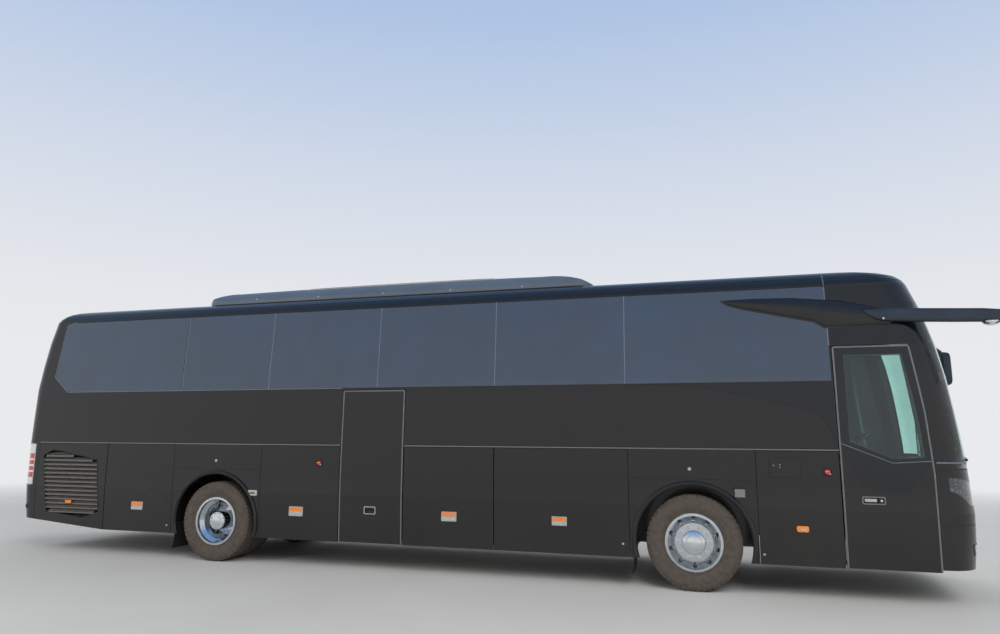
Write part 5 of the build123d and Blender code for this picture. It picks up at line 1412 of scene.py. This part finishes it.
class COACH_OT_roof_details(bpy.types.Operator):
    """Make the pod's rails, fans, screws and gap line, and the roof hatches and joints"""

    bl_idname = "coach.roof_details"
    bl_label = "Roof details"

    def execute(self, context):
        x = np.linspace(REAR_AXLE_X + 0.93, REAR_AXLE_X + 3.72, 48)
        ease = np.sin(np.pi * np.linspace(0, 1, 48)) ** 0.2
        rails = []
        for y in (-0.81, 0.81):
            path = np.column_stack([x, np.full(48, y), pod_skin(x, y) + 0.004 * ease - 0.012 * (1 - ease)])
            rails.append(carried(STRIP * (0.050, 0.020), path, (0, np.sign(y) * 0.5, 1)))
        # The rails' pale colour is a painted highlight along the pod's top edges
        piece("pod_rails", joined(rails), "rail")
        fans, grilles = [], []
        for x in REAR_AXLE_X + np.array([0.62, 1.32, 2.88, 3.58]):
            for y in (-0.34, 0.34):
                base = min(pod_crown(x) - 0.006, POD_TOP - 0.0125)
                ring = ((0.25, 0.0), (0.25, 0.010), (0.235, 0.012), (0.225, 0.004), (0.225, 0.0))
                fans.append(turned(ring + ring[:1], (x, y, base), 1, 48, axis=2))
                for bore in (0.06, 0.10, 0.14, 0.18):
                    wire = ((0.0, 0.005), (0.006, 0.009), (0.012, 0.005), (0.006, 0.002))
                    wire = tuple((bore + out, rise) for out, rise in wire)
                    grilles.append(turned(wire + wire[:1], (x, y, base), 1, 40, axis=2))
                hub = ((0.045, 0.0), (0.045, 0.009), (0.03, 0.012), (0.0, 0.012))
                grilles.append(turned(hub, (x, y, base), 1, 24, axis=2))
                for angle in np.arange(3) * np.pi / 3:
                    reach = 0.228 * np.array([np.cos(angle), np.sin(angle)])
                    path = np.array([(x - reach[0], y - reach[1], base + 0.004), (x, y, base + 0.004),
                                     (x + reach[0], y + reach[1], base + 0.004)])
                    grilles.append(carried(STRIP * (0.012, 0.006), path, (0, 0, 1)))
        piece("pod_fan_rings", joined(fans), "moulding")
        piece("pod_fan_guards", joined(grilles), "chassis", slot="mirror_black")
        outline = rounded_rectangle(POD_FRONT_X - POD_REAR_X + 0.02, 2 * POD_HALF + 0.02, 0.335, 12)
        loop = dense(outline, 0.25, closed=True) + ((POD_FRONT_X + POD_REAR_X) / 2, 0)
        reach = np.abs(loop[:, 1])
        base_z = np.interp(reach, (0.0, 0.635, 0.785, 0.90, 0.985), (3.494, 3.492, 3.485, 3.475, 3.460))
        path = np.column_stack([loop, base_z + 0.004])
        seal = carried(STRIP * (0.020, 0.016), path, (0, 0, 1), closed=True)
        piece("pod_seal", seal, "rubber", smooth=60)
        screws = []
        for x, z in ((0.216, 3.535), (1.20, 3.520), (2.176, 3.520), (3.14, 3.512), (4.105, 3.505)):
            for side in (-1, 1):
                head = ((0.010, -0.006), (0.010, 0.003), (0.006, 0.006), (0.0, 0.007))
                screws.append(turned(head, (REAR_AXLE_X + x, side * (POD_HALF - 0.002), z), side, 18))
        piece("pod_screws", joined(screws), "zinc")
        hatches, frames = [], []
        for x in (-5.05, 3.35):
            outline = rounded_rectangle(0.74, 0.62, 0.09)
            levels = ((1.0, -0.004), (1.0, 0.020), (0.97, 0.034), (0.88, 0.042), (0.5, 0.046))
            points, faces = stacked(outline, levels)
            hatches.append((points + (x, 0, ROOF_Z), faces))
            levels = ((1.0, -0.004), (1.0, 0.008), (0.98, 0.012), (0.9, 0.012))
            points, faces = stacked(rounded_rectangle(0.80, 0.68, 0.10), levels)
            frames.append((points + (x, 0, ROOF_Z), faces))
        piece("roof_hatches", joined(hatches), "moulding", smooth=30)
        piece("roof_hatch_frames", joined(frames), "rubber", smooth=30)
        seams = []
        z = np.array([3.10, 3.20, 3.283, 3.335, 3.380, 3.414, 3.440, 3.460, 3.475, 3.485, 3.492])
        for side in (-1, 1):
            path = on_right_or_left(side)(np.column_stack([np.full(len(z), ROOF_SEAM_X), z]), 0.0)
            seams.append(carried(STRIP * (0.009, 0.005), path, (0, side, 0.6)))
            ends = [(ROOF_SEAM_X, FRONT_DOOR_TOP + 0.01), (ROOF_SEAM_X, 2.806)]
            seams.append(side_strip(ends, side, 0.012, 0.006))
        piece("roof_seams", joined(seams), "gasket")
        aerial = (
            (0.030, -0.003), (0.030, 0.008), (0.020, 0.018), (0.007, 0.026), (0.006, 0.060), (0.0, 0.062),
        )
        mast = turned(aerial, (REAR_AXLE_X + 7.72, -0.30, ROOF_Z), 1, 24, axis=2)
        piece("roof_aerial", mast, "moulding")
        return {"FINISHED"}


# Nose and tail
SENSOR = ((0.014, -0.004), (0.014, 0.003), (0.010, 0.005), (0.0, 0.005))


def end_plate(width, height, radius, depth, y, z, place, lift=0.0):
    """A plate with a rounded edge on the nose or the tail, bent to it."""
    points, faces = framed_plate(width, height, radius, depth)
    return place(points[:, :2] + (y, z), lift + points[:, 2]), faces


class COACH_OT_nose_details(bpy.types.Operator):
    """Make the nose's joints, lamp rings, windscreen border and wiper rubbers"""

    bl_idname = "coach.nose_details"
    bl_label = "Nose details"

    def execute(self, context):
        outer = np.array([(-1.218, 1.349), (1.218, 1.349), (1.144, 3.036), (-1.144, 3.036)])
        inner = np.array([(-1.130, 1.455), (1.130, 1.455), (1.066, 2.950), (-1.066, 2.950)])
        frit = border(outer, inner, on_nose, 0.0012)
        piece("windscreen_frit", frit, "frit", smooth=20)
        joints = [round_end(STRIP * (0.007, 0.004), nose_path(z)) for z in (0.790, 1.330)]
        piece("nose_joints", joined(joints), "rubber")
        trim = round_end(STRIP * (0.014, 0.008) + (0, 0.002), nose_path(1.395)[:13])
        mirrored = trim[0] * (1, -1, 1)
        piece("pillar_foot_strips", joined([trim, (mirrored, trim[1])]), "sealant")
        blade = np.array([(-0.012, -0.002), (-0.012, 0.010), (0.004, 0.018), (0.012, 0.006), (0.012, -0.002)])
        grille = [round_end(blade, nose_path(z)[17:-17]) for z in (0.850, 0.890, 0.930)]
        piece("nose_grille_bars", joined(grille), "gloss")
        rings, sensors = [], []
        for side in (-1, 1):
            edge = (HALF_WIDTH - np.array([0.425, 0.195, 0.155, 0.425])) * side
            outline = np.column_stack([edge, (0.500, 0.500, 0.600, 0.600)])
            rings.append(border(scaled(outline, 1.12), scaled(outline, 0.94), on_nose, 0.006))
            for y, z in ((0.30, 0.560), (0.74, 0.560)):
                x = float(nose_skin(side * y, z))
                sensors.append(turned(SENSOR, (x, side * y, z), 1, 20, axis=0))
        piece("fog_lamp_rings", joined(rings), "moulding", smooth=35)
        piece("nose_sensors", joined(sensors), "moulding")
        rubbers = []
        for tip in (-0.640, 0.250):
            y = np.linspace(tip - 0.410, tip + 0.410, 24)
            z = np.linspace(1.4205, 1.4995, 24)
            path = on_nose(np.column_stack([y, z]), 0.0175)
            rubbers.append(carried(STRIP * (0.012, 0.008), path, (1, 0, 0)))
        piece("wiper_rubbers", joined(rubbers), "rubber")
        return {"FINISHED"}


class COACH_OT_tail_details(bpy.types.Operator):
    """Make the tail's lid pull and folds, reflectors, lamp frames and window border"""

    bl_idname = "coach.tail_details"
    bl_label = "Tail details"

    def execute(self, context):
        outer = np.array([(-0.998, 2.332), (0.998, 2.332), (0.928, 3.128), (-0.928, 3.128)])
        inner = np.array([(-0.930, 2.400), (0.930, 2.400), (0.868, 3.066), (-0.868, 3.066)])
        piece("rear_glass_frit", border(outer, inner, on_tail, 0.0012), "frit", smooth=20)
        seal_in = outer + (outer - outer.mean(0)) * 0.010
        seal_out = seal_in + (seal_in - seal_in.mean(0)) * 0.012
        piece("rear_glass_seal", border(seal_out, seal_in, on_tail, 0.003), "rubber")
        body = "engine_lid"
        pull = end_plate(0.220, 0.050, 0.020, 0.004, 0.0, 0.900, on_tail)
        piece("engine_lid_pull", pull, "moulding", body, 35)
        folds = []
        for z in (1.330, 1.900):
            y = np.linspace(-0.84, 0.84, 15)
            path = on_tail(np.column_stack([y, np.full(15, z)]), 0.0)
            folds.append(carried(STRIP * (0.016, 0.003), path, (-1, 0, 0)))
        piece("engine_lid_folds", joined(folds), "enamel", body, 50)
        red, frames, sensors = [], [], []
        for side in (-1, 1):
            red.append(end_plate(0.150, 0.048, 0.008, 0.008, side * 0.86, 0.660, on_tail))
            x = np.full(9, TAIL_X + 0.232)
            z = np.linspace(0.912, 1.487, 9)
            path = on_right_or_left(side)(np.column_stack([x, z]), 0.001)
            frames.append(carried(STRIP * (0.014, 0.009), path, (0, side, 0)))
            y = side * np.interp(z, (0.916, 1.483), (HALF_WIDTH - 0.192, HALF_WIDTH - 0.128))
            path = on_tail(np.column_stack([y, z]), 0.001)
            frames.append(carried(STRIP * (0.012, 0.008), path, (-1, 0, 0)))
            for end_z in (0.912, 1.487):
                loop = tail_path(end_z)
                part = loop[:10] if side > 0 else loop[-10:]
                keep = np.abs(part[:, 1]) > HALF_WIDTH - (0.19 if end_z < 1 else 0.13)
                if keep.sum() > 2:
                    frames.append(round_end(STRIP * (0.012, 0.008) + (0, 0.001), part[keep]))
            for y, z in ((0.28, 0.600), (0.62, 0.600)):
                x = float(tail_skin(side * y, z))
                sensors.append(turned(SENSOR, (x, side * y, z), -1, 20, axis=0))
            x, z = TAIL_X + 0.170, 0.607
            cup = ((0.036, -0.006), (0.036, 0.004), (0.028, 0.008), (0.022, 0.003), (0.0, 0.003))
            sensors.append(turned(cup, (x, side * float(side_skin(x, z)), z), side, 32))
        piece("tail_reflectors", joined(red), "red", smooth=35)
        piece("tail_lamp_frames", joined(frames), "zinc")
        piece("tail_sensors", joined(sensors), "moulding")
        brake = end_plate(0.420, 0.034, 0.012, 0.014, 0.0, 3.205, on_tail)
        piece("high_brake_lamp", brake, "red", smooth=35)
        return {"FINISHED"}


# Seats
SEAT_PITCH = 0.770
FIRST_SEAT = 0.700
SEAT_ROOM = 0.500
LAST_SEAT_X = 4.2815
STAIRS_X = REAR_AXLE_X + 2.2533
STAIRS_BEHIND, STAIRS_AHEAD = 0.954, 0.664
DRIVER_BACK, DRIVER_Y, DRIVER_WIDTH = 1.400, 0.620, 0.500
SALOON_FLOOR_Z = 1.370
DRIVER_FLOOR_Z = 0.900
PAIR_Y = 0.735
PLACE_WIDTH = 0.445
RACK_EDGE_Y = 0.747
RACK_EDGE_Z = 2.956


def seat_places():
    """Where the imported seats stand: x, middle y, width of one place, number of places, floor height."""
    places = []
    x = TAIL_X + FIRST_SEAT
    while x + SEAT_ROOM < LAST_SEAT_X:
        for side in (-1, 1):
            if side > 0 or not STAIRS_X - STAIRS_BEHIND < x < STAIRS_X + STAIRS_AHEAD:
                label = "left" if side > 0 else "right"
                places.append((x, side * PAIR_Y, PLACE_WIDTH, 2, SALOON_FLOOR_Z, label))
        x += SEAT_PITCH
    places.append((NOSE_X - DRIVER_BACK, DRIVER_Y, DRIVER_WIDTH, 1, DRIVER_FLOOR_Z, "driver"))
    return places


CUSHION_LEVELS = (
    (0.0, 0.0), (0.45, 0.0), (0.85, 0.0), (0.96, 0.008), (1.0, 0.030), (0.995, 0.060), (0.965, 0.082),
    (0.90, 0.094), (0.81, 0.098), (0.785, 0.091), (0.76, 0.099), (0.62, 0.104), (0.42, 0.105), (0.395, 0.098),
    (0.37, 0.105), (0.18, 0.107), (0.0, 0.107),
)


def pad(half_a, half_b, depth):
    """A cushion of squircle rings: crowned on top, seams sunk at two of its levels, sides drawn in
    halfway between its corners by up to 5 mm."""
    ring = squircle(half_a, half_b, 40, 0.38)
    pull = 1 - 0.012 * np.cos(2 * np.arctan2(ring[:, 1] / half_b, ring[:, 0] / half_a)) ** 2
    points, faces = stacked(ring * pull[:, None], CUSHION_LEVELS)
    return points * (1, 1, depth / CUSHION_LEVELS[-1][1]), faces


CLOTH_FRAMES = 20


def plumped(shape, cap):
    """A cushion blown up by a cloth simulation; no point moves further than the cap."""
    scene = bpy.context.scene
    thing = object_of("pad", shape)
    mesh = thing.data
    cloth = thing.modifiers.new("cloth", "CLOTH")
    cloth.settings.quality = 6
    cloth.settings.use_pressure = True
    cloth.settings.uniform_pressure_force = 4.0
    cloth.settings.effector_weights.gravity = 0.0
    start = np.empty(len(mesh.vertices) * 3)
    mesh.vertices.foreach_get("co", start)
    for step in range(1, CLOTH_FRAMES + 1):
        scene.frame_set(step)
    graph = bpy.context.evaluated_depsgraph_get()
    blown = thing.evaluated_get(graph).data
    moved = np.empty_like(start)
    blown.vertices.foreach_get("co", moved)
    faces = [list(polygon.vertices) for polygon in mesh.polygons]
    shift = (moved - start).reshape(-1, 3)
    reach = np.linalg.norm(shift, axis=1, keepdims=True)
    shift *= np.minimum(1.0, cap / np.maximum(reach, 1e-9))
    scene.frame_set(1)
    bpy.data.objects.remove(thing)
    bpy.data.meshes.remove(mesh)
    return start.reshape(-1, 3) + shift, faces


def leaned(shape, base, across, up, grow=1.0):
    """A shape in (across, up, out) placed at a base with given directions for across and up, drawn out
    across by the share grow."""
    points, faces = shape
    across, up = unit(np.asarray(across, float)), unit(np.asarray(up, float))
    out = np.cross(across, up)
    return points * (grow, 1, 1) @ np.stack([across, up, out]) + np.asarray(base, float), faces


class COACH_OT_seats(bpy.types.Operator):
    """Make the padded seats in place of the plain ones"""

    bl_idname = "coach.seats"
    bl_label = "Seats"

    def execute(self, context):
        cushion = plumped(pad(0.205, 0.222, 0.092), 0.006)
        back = plumped(pad(0.205, 0.262, 0.072), 0.006)
        rest = plumped(pad(0.135, 0.080, 0.060), 0.005)
        frames, shells, arms = [], [], []
        lean = (-0.150, 0.0, 0.670)
        for number, (x, middle_y, width, count, floor_z, label) in enumerate(seat_places()):
            grow = width / PLACE_WIDTH
            cushions, backs, rests = [], [], []
            for index in range(count):
                y = middle_y + (index - (count - 1) / 2) * width
                base = (x + 0.225, y, floor_z + 0.353)
                cushions.append(leaned(cushion, base, (0, -1, 0), (1.0, 0, 0.055), grow))
                backs.append(leaned(back, (x - 0.066, y, floor_z + 0.675), (0, 1, 0), lean, grow))
                rests.append(leaned(rest, (x - 0.135, y, floor_z + 1.010), (0, 1, 0), lean, grow))
                levels = ((0.9, 0.0), (1.0, 0.012), (1.0, 0.022), (0.9, 0.030))
                shell = stacked(squircle(0.212, 0.335, 32, 0.36), levels)
                shells.append(leaned(shell, (x - 0.116, y, floor_z + 0.745), (0, 1, 0), lean, grow))
            name = f"{label}_seat_{number}"
            for kind, shapes, finish, fill in (
                ("cushions", cushions, "moquette", 0.7),
                ("backs", backs, "moquette", 0.7),
                ("headrests", rests, "leather", 0.8),
            ):
                made = piece(f"{name}_{kind}", joined(shapes), finish, smooth=60, slot="seat_fabric")
                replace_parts(made, "seats")
            half = width * count / 2
            for rail_x in (x + 0.080, x + 0.360):
                path = [(rail_x, middle_y + end * (half - 0.02), floor_z + 0.335) for end in (-1, 1)]
                frames.append(carried(STRIP * (0.035, 0.030), path, (0, 0, 1)))
            column = [(x + 0.195, middle_y, floor_z + rise) for rise in (-0.002, 0.12, 0.325)]
            frames.append(carried(squircle(0.075, 0.035, 20), column, (1, 0, 0)))
            levels = ((1.0, -0.002), (1.0, 0.006), (0.96, 0.010), (0.5, 0.012))
            foot = stacked(rounded_rectangle(0.30, 0.14, 0.03), levels)
            frames.append((foot[0] + (x + 0.195, middle_y, floor_z), foot[1]))
            for offset in np.linspace(-half + 0.012, half - 0.012, count + 1):
                path = np.array([(0.010, 0, 0.615), (0.10, 0, 0.625), (0.24, 0, 0.622), (0.30, 0, 0.605)])
                path = path + (x, middle_y + offset, floor_z)
                arm = squircle(0.020, 0.017, 16, 0.6)
                arms.append(carried(arm, path, (0, 0, 1), size=(0.8, 1.0, 1.0, 0.7)))
        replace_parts(piece("seat_frames", joined(frames), "chassis"), "seats")
        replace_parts(piece("seat_shells", joined(shells), "dash"), "seats")
        piece("seat_armrests", joined(arms), "leather")
        return {"FINISHED"}


class COACH_OT_cab(bpy.types.Operator):
    """Make the binnacle, screen and vents of the dashboard, and the rack edges"""

    bl_idname = "coach.cab"
    bl_label = "Cab"

    def execute(self, context):
        # Hood over the dials: an arch whose height follows a cosine across the driver's place
        y = np.linspace(0.36, 0.88, 17)
        rise = 0.105 * np.cos((y - 0.62) / 0.26 * np.pi / 2) ** 0.6
        x = np.linspace(NOSE_X - 0.640, NOSE_X - 0.330, 8)
        fall = np.linspace(1.0, 0.25, 8)[:, None]
        z = 1.318 + 0.02 * np.linspace(0, 1, 8)[:, None] + rise[None, :] * fall
        top = np.stack(np.broadcast_arrays(x[:, None], y[None, :], z), -1)
        hood = slab(top, top - (0, 0, 0.012))
        piece("instrument_hood", hood, "dash", smooth=50)
        face_y = np.linspace(0.40, 0.84, 13)
        face_z = np.array([1.302, 1.34, 1.38])[:, None] + 0 * face_y
        face_x = np.full_like(face_z, NOSE_X - 0.600)
        face = np.stack([face_x, np.broadcast_to(face_y, face_z.shape), face_z], -1)
        piece("instrument_panel", slab(face, face + (0.02, 0, 0)), "gloss")
        dials = []
        for dial_y, radius in ((0.52, 0.040), (0.72, 0.040), (0.62, 0.028)):
            ring = ((radius, 0.0), (radius, 0.006), (radius - 0.006, 0.007), (radius - 0.008, 0.001))
            dials.append(turned(ring + ring[:1], (NOSE_X - 0.601, dial_y, 1.345), -1, 32, axis=0))
        piece("dial_rings", joined(dials), "chrome")
        points, faces = framed_plate(0.260, 0.150, 0.012, 0.016)
        lean = np.column_stack(
            [NOSE_X - 0.655 - points[:, 2] * 0.9, 0.16 + points[:, 0], 1.300 + points[:, 1] * 0.95]
        )
        piece("navigation_screen", (lean, faces), "gloss", smooth=35)
        vents = []
        for vent_y in (-0.75, -0.45, -0.10):
            for step in range(4):
                points, faces = framed_plate(0.150, 0.008, 0.003, 0.010)
                z = 1.238 + 0.014 * step
                slat = points[:, [2, 0, 1]] * (-1, 1, 1) + (NOSE_X - 0.652, vent_y, z)
                vents.append((slat, faces))
        piece("dash_vents", joined(vents), "moulding", smooth=35)
        edges = []
        for side in (-1, 1):
            span = np.linspace(TAIL_X + 0.52, DOOR_REAR_X - 0.22, 12)
            path = np.column_stack([span, np.full(12, side * RACK_EDGE_Y), np.full(12, RACK_EDGE_Z)])
            edges.append(carried(STRIP * (0.034, 0.016), path, (0, -side, 0)))
        piece("rack_edges", joined(edges), "anodised", slot="trim")
        return {"FINISHED"}


# Studio


class COACH_OT_stage(bpy.types.Operator):
    """Make the pale floor, the soft lights and the camera of the photograph"""

    bl_idname = "coach.stage"
    bl_label = "Stage"

    def execute(self, context):
        scene = context.scene
        size = FLOOR_HALF
        mesh = bpy.data.meshes.new("studio_floor")
        corners = [(-size, -size, 0), (size, -size, 0), (size, size, 0), (-size, size, 0)]
        mesh.from_pydata(corners, [], [(0, 1, 2, 3)])
        ground = bpy.data.objects.new("studio_floor", mesh)
        scene.collection.objects.link(ground)
        mesh.materials.append(studio_floor())
        studio_world(scene)
        for name, place, aim, side, power in (
            ("key", (9.0, -13.0, 10.5), (0.5, 0.0, 1.2), 9.0, 1500.0),
            ("fill", (-11.0, -12.0, 7.0), (-1.0, 0.0, 1.2), 8.0, 700.0),
            ("back", (0.0, 12.0, 11.0), (0.0, 0.0, 2.0), 10.0, 900.0),
        ):
            lamp = bpy.data.lights.new(name, "AREA")
            lamp.shape, lamp.size, lamp.energy = "SQUARE", side, power
            holder = bpy.data.objects.new(name, lamp)
            holder.visible_glossy = holder.visible_camera = holder.visible_transmission = False
            holder.location = place
            toward = Vector(aim) - Vector(place)
            holder.rotation_euler = toward.to_track_quat("-Z", "Y").to_euler()
            scene.collection.objects.link(holder)
        lens = bpy.data.cameras.new("camera")
        lens.sensor_width = 36.0
        lens.lens = FOCAL_PIXELS / FRAME_WIDTH * lens.sensor_width
        eye = bpy.data.objects.new("camera", lens)
        eye.location = CAMERA_PLACE
        ahead = Vector(
            (
                -np.sin(CAMERA_YAW) * np.cos(CAMERA_PITCH),
                np.cos(CAMERA_YAW) * np.cos(CAMERA_PITCH),
                np.sin(CAMERA_PITCH),
            )
        )
        turn = ahead.to_track_quat("-Z", "Y")
        roll = Matrix.Rotation(CAMERA_ROLL, 4, "Z")
        eye.matrix_world = Matrix.Translation(CAMERA_PLACE) @ turn.to_matrix().to_4x4() @ roll
        scene.collection.objects.link(eye)
        scene.camera = eye
        scene.view_settings.view_transform = "Standard"
        return {"FINISHED"}


FLOOR_HALF = 90.0
# The photograph's camera, solved from the wheels, the panel lines and the height
FRAME_WIDTH = 1000
FOCAL_PIXELS = 703.622
CAMERA_PLACE = (REAR_AXLE_X + 6.291, -9.387, 1.593)
CAMERA_YAW = np.radians(16.370)
CAMERA_PITCH = np.radians(9.889)
CAMERA_ROLL = np.radians(0.413)


def studio_floor():
    """Pale troweled concrete that fades into the backdrop far from the coach."""
    made, tree, place, shader = blank("pale_troweled_concrete")
    finish_surface(tree, place, shader, settings().floor_colour, "#cfcdc9", 2500, 12, 0.3, 0.75, 0.05)
    far = add(tree, "ShaderNodeVectorMath", {0: place}, operation="LENGTH")
    reach = {0: far.outputs["Value"], 1: 10.0, 2: 24.0}
    share = add(tree, "ShaderNodeMapRange", reach, interpolation_type="SMOOTHSTEP")
    glow = add(tree, "ShaderNodeEmission", {"Color": tuple(settings().backdrop_colour)})
    both = add(tree, "ShaderNodeMixShader", {0: share.outputs[0], 1: shader.outputs[0], 2: glow.outputs[0]})
    output = next(node for node in tree.nodes if node.type == "OUTPUT_MATERIAL")
    tree.links.new(both.outputs[0], output.inputs[0])
    return made


def studio_world(scene):
    """Backdrop colour for the eye, for gloss and through glass; a plain soft light for the rest."""
    world = bpy.data.worlds.new("studio")
    scene.world = world
    world.use_nodes = True
    tree = world.node_tree
    tree.nodes.clear()
    rays = add(tree, "ShaderNodeLightPath")
    seen = rays.outputs["Is Camera Ray"]
    for kind in ("Is Glossy Ray", "Is Transmission Ray"):
        seen = add(tree, "ShaderNodeMath", {0: seen, 1: rays.outputs[kind]}, operation="MAXIMUM").outputs[0]
    # The backdrop darkens to a soft blue overhead, so that roofs, glass and chrome show a gradient
    way = add(tree, "ShaderNodeTexCoord").outputs["Generated"]
    rise = add(tree, "ShaderNodeSeparateXYZ", {0: way}).outputs["Z"]
    share = add(tree, "ShaderNodeMapRange", {0: rise, 1: 0.06, 2: 0.85}, interpolation_type="SMOOTHSTEP")
    tone = blend(tree, share.outputs[0], tuple(settings().backdrop_colour), linear("#86aee0"))
    soft = add(tree, "ShaderNodeBackground", {"Color": linear("#eef1f5"), "Strength": 0.55})
    shown = add(tree, "ShaderNodeBackground", {"Color": tone, "Strength": 1.0})
    mixed = add(tree, "ShaderNodeMixShader", {0: seen, 1: soft.outputs[0], 2: shown.outputs[0]})
    output = add(tree, "ShaderNodeOutputWorld")
    tree.links.new(mixed.outputs[0], output.inputs[0])


class COACH_PT_panel(bpy.types.Panel):
    """Buttons for the coach's pieces"""

    bl_idname = "COACH_PT_panel"
    bl_label = "Touring coach"
    bl_space_type = "VIEW_3D"
    bl_region_type = "UI"
    bl_category = "Coach"

    def draw(self, context):
        for operator in OPERATORS:
            self.layout.operator(operator.bl_idname)
        for name in CoachFinish.__annotations__:
            self.layout.prop(context.scene.coach_finish, name)


OPERATORS = (
    COACH_OT_paint,
    COACH_OT_tyres,
    COACH_OT_wheel_fittings,
    COACH_OT_side_trim,
    COACH_OT_engine_grilles,
    COACH_OT_flap_fittings,
    COACH_OT_door_trim,
    COACH_OT_mirrors,
    COACH_OT_roof_details,
    COACH_OT_nose_details,
    COACH_OT_tail_details,
    COACH_OT_seats,
    COACH_OT_cab,
    COACH_OT_stage,
)
CLASSES = (CoachFinish, *OPERATORS, COACH_PT_panel)


def register():
    for item in CLASSES:
        bpy.utils.register_class(item)
    bpy.types.Scene.coach_finish = bpy.props.PointerProperty(type=CoachFinish)


def unregister():
    del bpy.types.Scene.coach_finish
    for item in reversed(CLASSES):
        bpy.utils.unregister_class(item)


def main():
    register()
    for operator in OPERATORS:
        group, name = operator.bl_idname.split(".")
        getattr(getattr(bpy.ops, group), name)()


if __name__ == "__main__":
    main()
